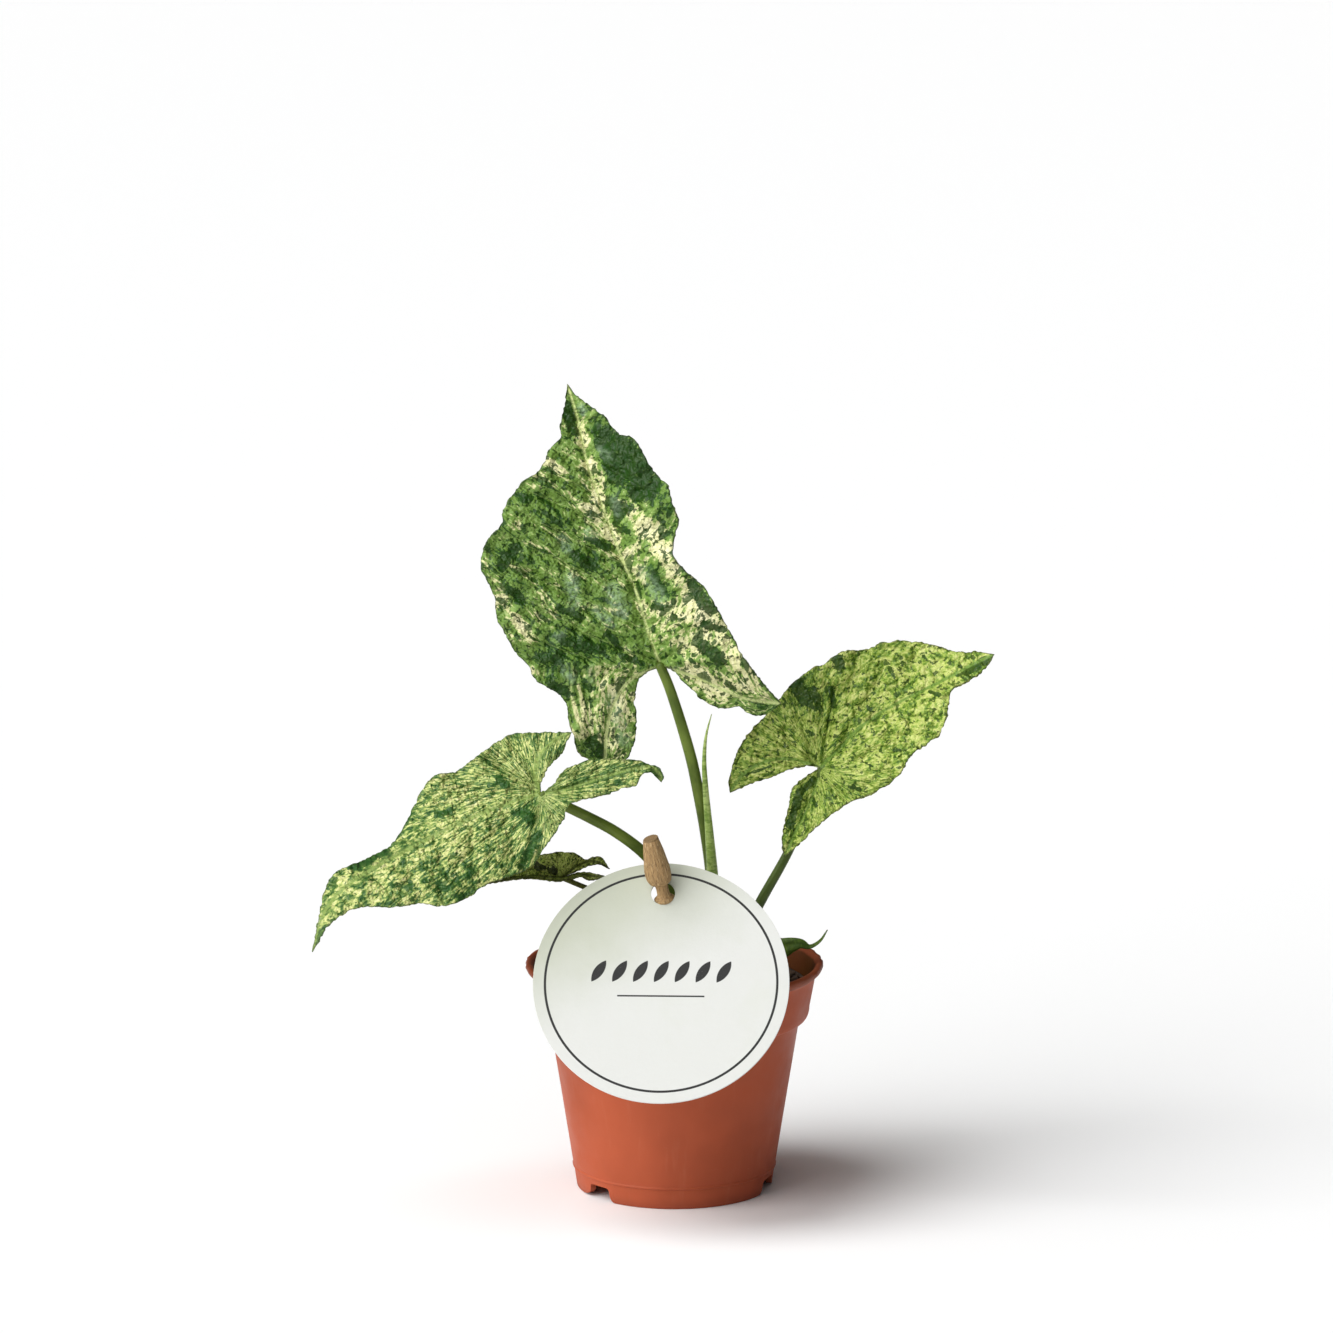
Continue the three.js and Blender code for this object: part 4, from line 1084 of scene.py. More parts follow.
def outer_strip(half, midrib, vein, shape):
    """From the midrib and the lobe's vein out to the margin."""
    rows, lobe_rows = shape["rows"], shape["lobe_rows"]
    spine = np.vstack([midrib, vein[1:]])
    edge = dense_line(half["margin"])
    turn = half["shoulder"] * LINE_PARTS
    margin = np.vstack([evenly(edge[: turn + 1], rows), evenly(edge[turn:], lobe_rows)[1:]])
    margin = nicked(margin, shape["ragged"])
    share = np.concatenate([np.linspace(0, 2, rows + 1), np.linspace(2, 3, lobe_rows + 1)[1:]])
    part = strip(spine, margin, np.interp(share, range(4), half["lift"]), shape["across"], midrib)
    width = np.hypot(*(margin - spine[:, :2]).T)[:, None]
    past_junction = reach_along(spine[:, :2])[:, None]
    past_junction = past_junction - past_junction[rows]
    above, below = np.maximum(-past_junction, 0), np.maximum(past_junction, 0)
    part["phase"] = above - (shape["slope"] * width + shape["lobe_slope"] * below) * part["t"]
    upper = np.arange(len(margin))[:, None] < rows
    part["along"] = np.where(upper, width * part["t"], part["radial"])
    return part


def inner_strip(half, midrib, vein, shape):
    """From the lobe's vein in to the notch."""
    rows = shape["lobe_rows"]
    margin = nicked(smooth_line(half["inner"], rows), shape["ragged"])
    lift = half["inner_lift"] * np.sin(np.linspace(0, math.pi, rows + 1))
    part = strip(vein, margin, lift, max(4, shape["across"] // 3), midrib)
    part["phase"] = shape["lobe_slope"] * reach_along(vein[:, :2])[:, None] * part["t"]
    part["along"] = part["radial"]
    return part


TARGET_STEP = 0.25
BLOCK = 2000  # points measured at a time, to spare memory


def nearest(x, h, lines):
    """For each drawn point, the distance to the nearest point of the lines."""
    counts = [int(reach_along(line)[-1] / TARGET_STEP) + 2 for line in lines]
    targets = np.vstack([evenly(line, count) for line, count in zip(lines, counts)])
    places = np.column_stack([x.ravel(), h.ravel()])
    result = np.empty(len(places))
    for start in range(0, len(places), BLOCK):
        gaps = places[start:start + BLOCK, None, :] - targets[None, :, :]
        result[start:start + BLOCK] = np.sqrt((gaps**2).sum(axis=2).min(axis=1))
    return result.reshape(x.shape)


def marking(x, h, strokes, together):
    """The strength of the strokes at drawn points: their sum, or their greatest above nothing."""
    total = np.zeros(x.shape) if together else np.full(x.shape, -1.0)
    for x0, h0, x1, h1, radius, strength in strokes:
        run, rise = x1 - x0, h1 - h0
        length = max(run * run + rise * rise, 1e-6)
        share = np.clip(((x - x0) * run + (h - h0) * rise) / length, 0, 1)
        gap = np.hypot(x - x0 - share * run, h - h0 - share * rise) / radius
        if together:
            total += strength * np.clip(1.5 - gap, 0, 1) ** 2
        else:
            total = np.maximum(total, np.clip(strength - gap, -1, 1))
    return total


# Distances in mm over which the parts of a blade's relief die away.
GROOVE_WIDTH, CHANNEL_WIDTH, WAVE_REACH, FROM_RIB, FROM_EDGE = 1.1, 1.4, 7, 3, 3.5


def blade_relief(part, rib, edge, shape, spacing):
    """How far each point lies behind the smooth sheet, in mm: veins sink and the rest swells."""
    phase = part["phase"] / spacing
    to_vein = np.abs(phase - np.rint(phase)) * spacing
    inland = 1 - np.exp(-rib / FROM_RIB)
    hold = inland * (1 - np.exp(-edge / FROM_EDGE))
    groove = np.exp(-((to_vein / GROOVE_WIDTH) ** 2)) * shape["groove"] * hold
    swell = (0.5 - 0.5 * np.cos(2 * math.pi * phase)) * shape["quilt"] * hold
    channel = np.exp(-((rib / CHANNEL_WIDTH) ** 2)) * shape["channel"]
    wave_depth = shape["wave"] * np.exp(-edge / WAVE_REACH) * (1 - np.exp(-rib / WAVE_REACH))
    wave_turn = part["arc"] * math.tau / shape["wave_length"] + shape["wave_start"]
    wave = wave_depth * np.sin(wave_turn)
    folds = marking(part["x"], part["h"], shape["creases"], True)
    return groove - swell + channel + wave + folds + pucker(part) * inland


# Two layers of uneven swelling: how close together, how deep in mm, and a place in the noise.
PUCKERS = ((0.22, 1.2, 0), (0.5, 0.45, 5))


def pucker(part):
    """Uneven swellings between the veins, in mm."""
    heights = [
        sum(depth * noise.noise((x * scale, h * scale, layer)) for scale, depth, layer in PUCKERS)
        for x, h in zip(part["x"].ravel(), part["h"].ravel())
    ]
    return np.array(heights).reshape(part["x"].shape)


def flow_place(part, shape):
    """Places in mm for markings that fan out from the junction, or run along the side veins."""
    along, over = part["along"], part["phase"]
    if shape["flow_fan"]:
        along = part["radial"]
        bend = 0.5 * np.clip(np.cos(part["bearing"]), 0, 1)
        over = part["bearing"] * shape["flow_fan"] * (along / shape["flow_fan"]) ** bend
    return np.stack([along * shape["flow_stretch"], over, np.zeros(along.shape)], axis=-1)


def point_values(part, rib, edge, marks, shape, spacing):
    """What a blade's materials read at each point of one strip."""
    x, h = part["x"], part["h"]
    fade = np.clip(1 - part["along"] / shape["vein_reach"], 0, 1) * (1 - np.exp(-rib / 1.5))
    return {
        "leaf_place": np.stack([x, h, np.zeros(x.shape)], axis=-1),
        "flow_place": flow_place(part, shape),
        "vein_phase": part["phase"] / spacing,
        "vein_fade": fade,
        "rib_distance": rib,
        "edge_distance": edge,
        "tone": marking(x, h, marks["tone"], True),
        "deep": marking(x, h, marks["deep"], False),
        "painted_highlight": np.clip(marking(x, h, marks["painted_highlight"], True), 0, 1),
    }


def build_blade(name, blade, marks, shape, settings, materials):
    """One thin closed blade, its face in the first material and its underside in the second."""
    scale = settings.fineness
    counted = {key: max(6, round(shape[key] * scale)) for key in ("rows", "lobe_rows", "across")}
    shape = {**shape, **counted}
    spacing = settings.vein_spacing * shape["spacing_share"]
    halves = whole_halves(blade)
    veins = [blade["midrib"], *(half["vein"] for half in halves)]
    ribs = [dense_line([point[:2] for point in vein]) for vein in veins]
    edges = [dense_line(half[key]) for half in halves for key in ("margin", "inner")]
    sheets = []
    for index, part in enumerate(blade_strips(blade["midrib"], halves, shape)):
        x, h = part["x"], part["h"]
        rib, edge = nearest(x, h, ribs), nearest(x, h, edges)
        points = place(x, h, part["back"] + blade_relief(part, rib, edge, shape, spacing))
        values = point_values(part, rib, edge, marks, shape, spacing)
        sheets.append(mapped_grid(f"{name}_{index}", points, values))
    piece = joined(name, sheets)
    face_forward(piece)
    for material in materials:
        piece.data.materials.append(material)
    apply_modifier(
        piece, "SOLIDIFY", thickness=settings.thickness, offset=0.0,
        material_offset=1, material_offset_rim=0, use_quality_normals=True,
    )
    return piece


def face_forward(piece):
    """Turns a sheet over when its faces look away from the front."""
    mesh = piece.data
    normals = np.empty(3 * len(mesh.polygons))
    areas = np.empty(len(mesh.polygons))
    mesh.polygons.foreach_get("normal", normals)
    mesh.polygons.foreach_get("area", areas)
    if (normals[1::3] * areas).sum() > 0:
        mesh.flip_normals()


# ---- Tubes and turned pieces ----


TUBE_SIDES, TUBE_STEPS = 24, 70
TUBE_TIP = 0.7  # how far its end is drawn out, as a share of its last radius
FOLD_TWIST = 1.5  # radians from one end of a tube to the other


def tube(name, line, radii, folds):
    """A closed tube along a drawn line, with a place round and along it kept for its material.

    Folds are how many ridges run along it and how deep they are, as a share of its radius.
    """
    centres = place(*smooth_line(line, TUBE_STEPS).T)
    tangents = np.gradient(centres, axis=0)
    tangents /= np.linalg.norm(tangents, axis=1)[:, None]
    first = np.cross(tangents, (0.0, 1.0, 0.0))
    first /= np.linalg.norm(first, axis=1)[:, None]
    second = np.cross(tangents, first)
    rows = np.linspace(0, 1, TUBE_STEPS + 1)
    radius = np.interp(rows, np.linspace(0, 1, len(radii)), radii)[:, None]
    angle = np.linspace(0, 2 * math.pi, TUBE_SIDES + 1)
    across, aside = np.cos(angle), np.sin(angle)
    ridges, depth = folds
    reach = radius * (1 + depth * np.sin(ridges * angle + FOLD_TWIST * rows[:, None])) * MM
    ring = across[:, None] * first[:, None, :] + aside[:, None] * second[:, None, :]
    points = centres[:, None, :] + ring * reach[..., None]
    along = np.broadcast_to(reach_along(centres)[:, None] / MM, reach.shape)
    spot = np.stack([across * radius, along, aside * radius], axis=-1)
    start, end = centres[0], centres[-1] + tangents[-1] * radius[-1] * TUBE_TIP * MM
    start, end = (np.broadcast_to(cap, (1, TUBE_SIDES + 1, 3)) for cap in (start, end))
    points = np.concatenate([start, points, end])
    spot = np.concatenate([spot[:1], spot, spot[-1:]])
    return joined(name, [mapped_grid(name, points, {"stalk_place": spot})])


def turned(name, profile, sides, centre):
    """A closed solid of revolution: a circle, extruded and resized ring by ring up the profile."""
    deselect_all()
    start_radius, start_height = profile[0]
    bpy.ops.mesh.primitive_circle_add(
        vertices=sides, radius=start_radius * MM, fill_type="NOTHING",
        location=(centre.x, centre.y, centre.z + start_height * MM),
    )
    piece = bpy.context.object
    bpy.ops.object.transform_apply(location=True, rotation=True, scale=True)
    edit_all(piece)
    bpy.ops.mesh.edge_face_add()
    for (radius, height), (next_radius, next_height) in zip(profile, profile[1:]):
        rise = (0, 0, (next_height - height) * MM)
        bpy.ops.mesh.extrude_region_move(TRANSFORM_OT_translate={"value": rise})
        share = next_radius / radius
        bpy.ops.transform.resize(value=(share, share, 1), center_override=centre)
    bpy.ops.object.mode_set(mode="OBJECT")
    piece.name = piece.data.name = name
    merge_and_face_out(piece)
    return piece


def outline(start, *runs):
    """Points along runs of (end, steps), or (middle, end, steps) where one bends towards middle."""
    points = [np.array(start, dtype=float)]
    for *bend, end, steps in runs:
        first, last = points[-1], np.array(end)
        middle = np.array(bend[0]) if bend else (first + last) / 2
        for t in np.linspace(0, 1, steps + 1)[1:]:
            points.append((1 - t) ** 2 * first + 2 * t * (1 - t) * middle + t * t * last)
    return points


def cut_away(piece, cutter):
    """Cuts one object out of a piece, and removes the cutter."""
    apply_modifier(piece, "BOOLEAN", operation="DIFFERENCE", solver="EXACT", object=cutter)
    bpy.data.objects.remove(cutter, do_unlink=True)


# ---- Pot and soil ----

FOOT_NOTCHES = [(-49, 9, 2.5), (71, 2.5, 9), (191, 9, 9)]  # angle from the front, corner roundings
NOTCH_WIDTH, NOTCH_HEIGHT, NOTCH_CORNER = 8.6, 4.5, 1.5
NOTCH_DEPTHS = (-36, -24)
DRAIN_RADIUS, DRAIN_CIRCLE, DRAIN_COUNT = 3.5, 17, 4
SOIL_EDGE, SOIL_TOP, SOIL_RADIUS, HEAP_RADIUS = 62.6, 64.2, 40.6, 38
# Two layers of lumps: a place in the noise, scale, and depth in mm. They fade towards LUMPS_END.
SOIL_LUMPS = ((3, 0.16, 1.1), (9, 0.5, 0.5))
LUMPS_END, LUMPS_FADE = 41, 4
SCATTER_SPAN, SCATTER_RADIUS = 39, 38.6
SOIL_SIDE = [(39.3, 57), (36.6, 53), (29.6, 9), (28, 7), (14, 7), (0, 7)]


def pot_profile():
    """The pot's section from the middle of its underside, out, up over the lip and down inside."""
    return outline(
        (4, 5.2),
        ((27.6, 5.2), 3), ((28.1, 5.2), (28.1, 4.6), 3),
        ((28.1, 0.3), 2), ((28.1, 0), (28.5, 0), 2),
        ((29.4, 0), 1), ((29.8, 0), (29.85, 0.5), 3),
        ((30.65, 6.2), 5), ((31.15, 6.25), (31.12, 6.6), 4), ((31.05, 6.85), (30.92, 7.1), 3),
        ((37.9, 51.6), 18), ((38.2, 52.3), (39.4, 52.5), 4), ((41.0, 52.9), (41.05, 56.2), 7),
        ((42.75, 65.6), 6), ((43.0, 66.4), (43.6, 66.8), 3), ((44.9, 67.5), (45.0, 68.5), 4),
        ((45.0, 69.8), (43.9, 69.8), 6), ((43.0, 69.7), (42.4, 68.2), 4),
        ((41.8, 66.6), (41.5, 64.8), 3), ((40.0, 56.8), 5),
        ((39.9, 53.8), (38.0, 53.4), 4), ((37.1, 53.2), (36.9, 52.2), 3),
        ((30.0, 8.2), 10), ((29.7, 6.6), (28.4, 6.6), 3),
        ((4, 6.6), 3),
    )


def notch_cutter(angle, before, after):
    """A block the shape of one notch: rounded above, and flared where it meets each foot."""
    half, top = NOTCH_WIDTH / 2, NOTCH_HEIGHT
    side, shoulder = half - NOTCH_CORNER, top - NOTCH_CORNER
    points = outline(
        (-half - before, -1),
        ((-half - before, 0), 1),
        ((-half, 0), (-half, shoulder), 8),
        ((-half, top), (-side, top), 4),
        ((side, top), 1),
        ((half, top), (half, shoulder), 4),
        ((half, 0), (half + after, 0), 8),
        ((half + after, -1), 1),
    )
    deselect_all()
    bpy.ops.mesh.primitive_circle_add(vertices=len(points), radius=1, fill_type="NGON")
    cutter = bpy.context.object
    near, far = NOTCH_DEPTHS
    for vertex, (x, z) in zip(cutter.data.vertices, points):
        vertex.co = (x * MM, near * MM, z * MM)
    edit_all(cutter)
    bpy.ops.mesh.extrude_region_move(TRANSFORM_OT_translate={"value": (0, (far - near) * MM, 0)})
    bpy.ops.mesh.select_all(action="SELECT")
    bpy.ops.mesh.normals_make_consistent(inside=False)
    bpy.ops.object.mode_set(mode="OBJECT")
    turn = Matrix.Rotation(math.radians(angle), 4, "Z")
    cutter.data.transform(Matrix.Translation(POT_AXIS) @ turn)
    return cutter


def drain_cutter(index):
    """A cylinder through the pot's floor, where one drain hole comes."""
    angle = (index + 0.5) * 2 * math.pi / DRAIN_COUNT
    spot = POT_AXIS + Vector((math.cos(angle), math.sin(angle), 0)) * DRAIN_CIRCLE * MM
    deselect_all()
    bpy.ops.mesh.primitive_cylinder_add(
        vertices=32, radius=DRAIN_RADIUS * MM, depth=6 * MM, location=(spot.x, spot.y, 6 * MM)
    )
    bpy.ops.object.transform_apply(location=True, rotation=True, scale=True)
    return bpy.context.object


def build_pot(settings):
    """The pot, turned from its profile, with its notches and drain holes cut."""
    sides = settings.sides
    pot = turned("terracotta_pot", pot_profile(), sides, POT_AXIS)
    for notch in FOOT_NOTCHES:
        cut_away(pot, notch_cutter(*notch))
    for index in range(DRAIN_COUNT):
        cut_away(pot, drain_cutter(index))
    mark_inside(pot)
    roughen_lip(pot)
    return pot


# The pot's inner face in mm: its foot, its radius at one height and how that widens, the lip's
# foot and inner radius, and from where the lip is half as brown as the rest.
INNER_FOOT, INNER_RADIUS, INNER_HEIGHT, INNER_SLOPE = 53, 40.3, 56.8, 0.19
LIP_FOOT, LIP_INNER_RADIUS, LIP_MIDDLE, LIP_SHARE = 65, 42.3, 66.7, 0.55


def mark_inside(pot):
    """Keeps 1 for the wall's inner face above the soil, which is browner, and less for the lip."""
    inside = np.zeros(len(pot.data.vertices))
    for index, vertex in enumerate(pot.data.vertices):
        radius, height = (vertex.co - POT_AXIS).xy.length / MM, vertex.co.z / MM
        limit = INNER_RADIUS + (height - INNER_HEIGHT) * INNER_SLOPE
        if height > LIP_FOOT:
            limit = max(limit, LIP_INNER_RADIUS)
        if height > INNER_FOOT and radius < limit:
            inside[index] = 1
        elif height > LIP_MIDDLE:
            inside[index] = LIP_SHARE
    keep_value(pot, "inside", inside)


# The rim's sway grows from SWAY_FOOT over SWAY_RISE, and its lip is ragged from RAGGED_FOOT, in mm.
SWAY_FOOT, SWAY_RISE, RAGGED_FOOT = 8, 60, 66
SWAYS = ((2, 0.28, 0.7), (5, 0.12, 0))  # waves to a turn, depth in mm and start
LIP_RAGS = ((420, 0.24), (1300, 0.14))


def roughen_lip(pot):
    """Thin moulded plastic: the rim is a little out of round and its lip a little ragged."""
    for vertex in pot.data.vertices:
        local = vertex.co - POT_AXIS
        height = max(0.0, min(1.0, (local.z / MM - SWAY_FOOT) / SWAY_RISE))
        angle = math.atan2(local.y, local.x)
        sway = sum(depth * math.sin(waves * angle + start) for waves, depth, start in SWAYS)
        outward = Vector((local.x, local.y, 0)).normalized()
        vertex.co += outward * sway * height * height * MM
        if local.z > RAGGED_FOOT * MM:
            ragged = layered_noise(local, LIP_RAGS)
            vertex.co += outward * ragged * MM
            vertex.co.z += ragged * 0.5 * MM - 0.06 * MM


def soil_height(x, y):
    """Height of the soil's top in mm at a place from the pot's axis, lumpy and a little heaped."""
    reach = math.hypot(x, y)
    base = SOIL_EDGE + (SOIL_TOP - SOIL_EDGE) * max(0.0, 1 - reach / HEAP_RADIUS)
    lumps = sum(
        noise.noise(Vector((x, y, layer)) * scale) * depth for layer, scale, depth in SOIL_LUMPS
    )
    return base + lumps * min(1.0, (LUMPS_END - reach) / LUMPS_FADE)


def build_soil():
    """The soil's whole body: a lumpy top, a side that follows the pot's wall, and a bottom."""
    rings, sides = ((64, 160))
    around = [(math.cos(a), math.sin(a)) for a in np.linspace(0, 2 * math.pi, sides + 1)]
    points = []
    for radius in np.linspace(0, SOIL_RADIUS, rings + 1):
        row = [(radius * x, radius * y) for x, y in around]
        points.append([(x, y, soil_height(x, y)) for x, y in row])
    for radius, height in SOIL_SIDE:
        points.append([(radius * x, radius * y, height) for x, y in around])
    points = np.array(points) * MM + np.array(POT_AXIS)
    return joined("soil_finish", [mapped_grid("soil_finish", points)])


LUMP_RISE, LUMP_GRAIN, LUMP_KNOCK = 0.25, 1.4, 0.45


def build_crumbs(name, count, seed, size, squash):
    """Loose lumps scattered over the soil, each a small ball pushed out of round."""
    rng = np.random.default_rng(seed)
    lumps = []
    deselect_all()
    bpy.ops.mesh.primitive_ico_sphere_add(subdivisions=1, radius=1)
    ball = bpy.context.object
    shape = [vertex.co.copy() for vertex in ball.data.vertices]
    while len(lumps) < count:
        x, y = rng.uniform(-SCATTER_SPAN, SCATTER_SPAN, 2)
        if math.hypot(x, y) > SCATTER_RADIUS:
            continue
        radius = rng.uniform(*size)
        turn = Matrix.Rotation(rng.uniform(0, math.tau), 3, rng.uniform(-1, 1, 3))
        centre = Vector((x, y, soil_height(x, y) + radius * LUMP_RISE))
        lump = ball.copy()
        lump.data = ball.data.copy()
        bpy.context.collection.objects.link(lump)
        for vertex, start in zip(lump.data.vertices, shape):
            uneven = 1 + LUMP_KNOCK * noise.noise(start * LUMP_GRAIN + centre)
            flat = Vector((start.x, start.y * squash[0], start.z * squash[1]))
            vertex.co = POT_AXIS + (centre + turn @ flat * radius * uneven) * MM
        lumps.append(lump)
    bpy.data.objects.remove(ball, do_unlink=True)
    return joined(name, lumps)


# ---- Tag and peg ----

TAG_RADIUS, TAG_THICKNESS, TAG_BEVEL = 38.1, 0.6, 0.08
TAG_LEAN, TAG_ROLL = math.radians(35), math.radians(-2)
TAG_CENTRE = Vector((-4.0, -42.7, 73.6))
TAG_SIDES, HOLE_SIDES = 192, 64
HOLE_RADIUS, HOLE_HEIGHT, PUNCH_LENGTH = 3.6, 28.4, 4
PEG_LEAN_LEFT, PEG_LEAN_FORWARD = math.radians(12), math.radians(10)


def tag_turn():
    """The turn and place of the tag: drawn flat with its face up, then stood up and leant back."""
    spin = Matrix.Rotation(TAG_ROLL, 4, "Z") @ Matrix.Rotation(math.pi / 2 - TAG_LEAN, 4, "X")
    return Matrix.Translation(POT_AXIS + TAG_CENTRE * MM) @ spin


def build_tag():
    """A thin disc with a punched hole and softened edges."""
    deselect_all()
    bpy.ops.mesh.primitive_cylinder_add(
        vertices=TAG_SIDES, radius=TAG_RADIUS * MM, depth=TAG_THICKNESS * MM, end_fill_type="NGON"
    )
    tag = bpy.context.object
    tag.name = tag.data.name = "card_tag"
    bpy.ops.mesh.primitive_cylinder_add(
        vertices=HOLE_SIDES, radius=HOLE_RADIUS * MM, depth=PUNCH_LENGTH * MM,
        location=(0, HOLE_HEIGHT * MM, 0),
    )
    cut_away(tag, bpy.context.object)
    apply_modifier(tag, "BEVEL", width=TAG_BEVEL * MM, segments=2, limit_method="ANGLE")
    keep_places(tag, "card_place")
    tag.data.transform(tag_turn())
    return tag


def peg_turn():
    """The turn and place of the peg: drawn upright about the hole's middle, then leant."""
    lean = Vector((-math.tan(PEG_LEAN_LEFT), -math.tan(PEG_LEAN_FORWARD), 1)).normalized()
    turn = Vector((0, 0, 1)).rotation_difference(lean).to_matrix().to_4x4()
    hole = tag_turn() @ Vector((0, HOLE_HEIGHT * MM, 0))
    return Matrix.Translation(hole) @ turn


# The peg's radius and height, from its point in the soil, through the neck in the tag's hole at 0,
# to its head, which is cut off at PEG_TOP.
PEG_PROFILE = [
    (0.4, -72), (1.2, -69), (2.4, -63), (3.1, -58), (3.2, -50), (3.15, -40), (3.25, -30),
    (3.2, -20), (3.2, -12), (3.2, -5), (3.1, -4.3), (2.6, -3.7), (2.25, -3.2), (2.7, -2.6),
    (3.15, -2), (3.2, -1.5), (2.8, -1), (2.15, -0.6), (1.95, 0), (1.9, 1.6), (2.0, 3), (2.8, 3.5),
    (3.5, 4.2), (3.9, 5.4), (4.05, 7), (4.0, 8.6), (3.6, 11), (3.1, 14), (2.6, 16.6),
    (2.25, 18.6), (2.1, 20.8),
]
PEG_SIDES, PEG_TOP, PEG_BEVEL = 14, 18.3, 0.14
PEG_CUT = (-0.1, -0.08, 1)  # the way its top cut faces
KNOCK_SCALE = Vector((260, 260, 70))  # closer together across the peg than along it
KNOCKS, KNOCK_FULL = ((1, 0.32), (2.7, 0.1)), 1.5  # full from this radius out, in mm


def build_peg():
    """A whittled peg: a turned shape with few sides, knocked out of true, its top cut slanting."""
    peg = turned("wooden_peg", PEG_PROFILE, PEG_SIDES, Vector((0, 0, 0)))
    for vertex in peg.data.vertices:
        knock = layered_noise(vertex.co * KNOCK_SCALE, KNOCKS)
        share = min(1.0, vertex.co.xy.length / MM / KNOCK_FULL)
        outward = Vector((vertex.co.x, vertex.co.y, 0)).normalized()
        vertex.co += outward * knock * share * MM
    edit_all(peg)
    bpy.ops.mesh.bisect(
        plane_co=(0, 0, PEG_TOP * MM), plane_no=PEG_CUT, use_fill=True, clear_outer=True
    )
    bpy.ops.object.mode_set(mode="OBJECT")
    apply_modifier(
        peg, "BEVEL", width=PEG_BEVEL * MM, segments=2, limit_method="ANGLE",
        angle_limit=math.radians(16),
    )
    keep_places(peg, "peg_place")
    peg.data.transform(peg_turn())
    return peg


# ---- Operators ----


class ARROWHEAD_OT_pot(bpy.types.Operator):
    """Build the nursery pot"""

    bl_idname = "arrowhead.pot"
    bl_label = "Build pot"

    def execute(self, context):
        settings = context.scene.arrowhead_pot
        plastic = plastic_material(settings.plastic)
        finish_piece(build_pot(settings), plastic, ["pot"], sharp_angle=32)
        return {"FINISHED"}


class ARROWHEAD_OT_soil(bpy.types.Operator):
    """Build the soil with its loose crumbs, bark and perlite"""

    bl_idname = "arrowhead.soil"
    bl_label = "Build soil"

    def execute(self, context):
        peat = peat_material(context.scene.arrowhead_pot.peat)
        finish_piece(build_soil(), peat, ["soil"])
        most = 420
        for name, count, seed, size, squash, material in (
            ("peat_crumbs", most, 7, (0.5, 1.5), (0.8, 0.7), peat),
            ("bark_chips", most // 5, 11, (1.2, 2.6), (0.35, 0.2), peat),
            ("perlite", most // 12, 5, (0.5, 1.1), (0.9, 0.8), perlite_material()),
        ):
            finish_piece(build_crumbs(name, count, seed, size, squash), material, [])
        return {"FINISHED"}


class ARROWHEAD_OT_stalks(bpy.types.Operator):
    """Build the short stem, the stalks and the rolled new leaf"""

    bl_idname = "arrowhead.stalks"
    bl_label = "Build stalks"

    def execute(self, context):
        settings = context.scene.arrowhead_leaf
        green, dark, olive, young, curled = (
            stalk_material(name, shade, tint(*pale), tint(*deep), banding)
            for name, shade, pale, deep, banding in (
                ("stalk_green", settings.stalk, (104, 122, 46), (56, 66, 22), 0),
                ("stalk_dark", tint(64, 82, 26), (84, 104, 38), (44, 50, 16), 0),
                ("stalk_olive", tint(66, 66, 24), (84, 88, 34), (44, 36, 16), 0),
                ("new_leaf_green", settings.new_leaf, (168, 186, 110), (78, 108, 34), 0.6),
                ("curled_green", tint(54, 80, 16), (104, 130, 42), (28, 44, 10), 0.25),
            )
        )
        for name, drawing, material, folds, slot in (
            ("main_stem", MAIN_STEM, green, (5, 0.08), "stalk"),
            ("tall_leaf_stalk", TALL_STALK, green, (2, 0.06), "stalk"),
            ("right_leaf_stalk", RIGHT_STALK, dark, (2, 0.06), "stalk"),
            ("left_leaf_stalk", LEFT_STALK, green, (2, 0.06), "stalk"),
            ("low_leaf_stalk", LOW_STALK, olive, (2, 0.1), "stalk"),
            ("rolled_new_leaf", NEW_LEAF, young, (1, 0.16), "stalk"),
            ("curled_leaf", CURLED_LEAF, curled, (3, 0.24), "dark_leaf"),
        ):
            stalk = tube(name + "_finish", drawing["line"], drawing["radii"], folds)
            finish_piece(stalk, material, [name])
        return {"FINISHED"}


class ARROWHEAD_OT_blades(bpy.types.Operator):
    """Build the mottled leaf blades"""

    bl_idname = "arrowhead.blades"
    bl_label = "Build blades"

    def execute(self, context):
        settings = context.scene.arrowhead_leaf
        for name, blade, marks, look, shape, slot in (
            ("tall_leaf_blade", TALL_BLADE, TALL_MARKS, TALL_LOOK, TALL_SHAPE, "mottled_leaf"),
            ("right_leaf_blade", RIGHT_BLADE, RIGHT_MARKS, RIGHT_LOOK, RIGHT_SHAPE, "mottled_leaf"),
            ("left_leaf_blade", LEFT_BLADE, LEFT_MARKS, LEFT_LOOK, LEFT_SHAPE, "mottled_leaf"),
            ("low_leaf_blade", LOW_BLADE, LOW_MARKS, LOW_LOOK, LOW_SHAPE, "dark_leaf"),
        ):
            spacing = settings.vein_spacing * shape["spacing_share"]
            face = leaf_face_material(name + "_face", look, spacing)
            under = leaf_back_material(name + "_under", look)
            piece = build_blade(name + "_finish", blade, marks, shape, settings, (face, under))
            finish_piece(piece, None, [name])
        return {"FINISHED"}


class ARROWHEAD_OT_tag(bpy.types.Operator):
    """Build the round card tag and its wooden peg"""

    bl_idname = "arrowhead.tag"
    bl_label = "Build tag"

    def execute(self, context):
        settings = context.scene.arrowhead_tag
        card, wood = card_material(settings), peg_material(settings.peg)
        finish_piece(build_tag(), card, ["tag_card"], sharp_angle=20)
        finish_piece(build_peg(), wood, ["tag_peg"], sharp_angle=18)
        return {"FINISHED"}


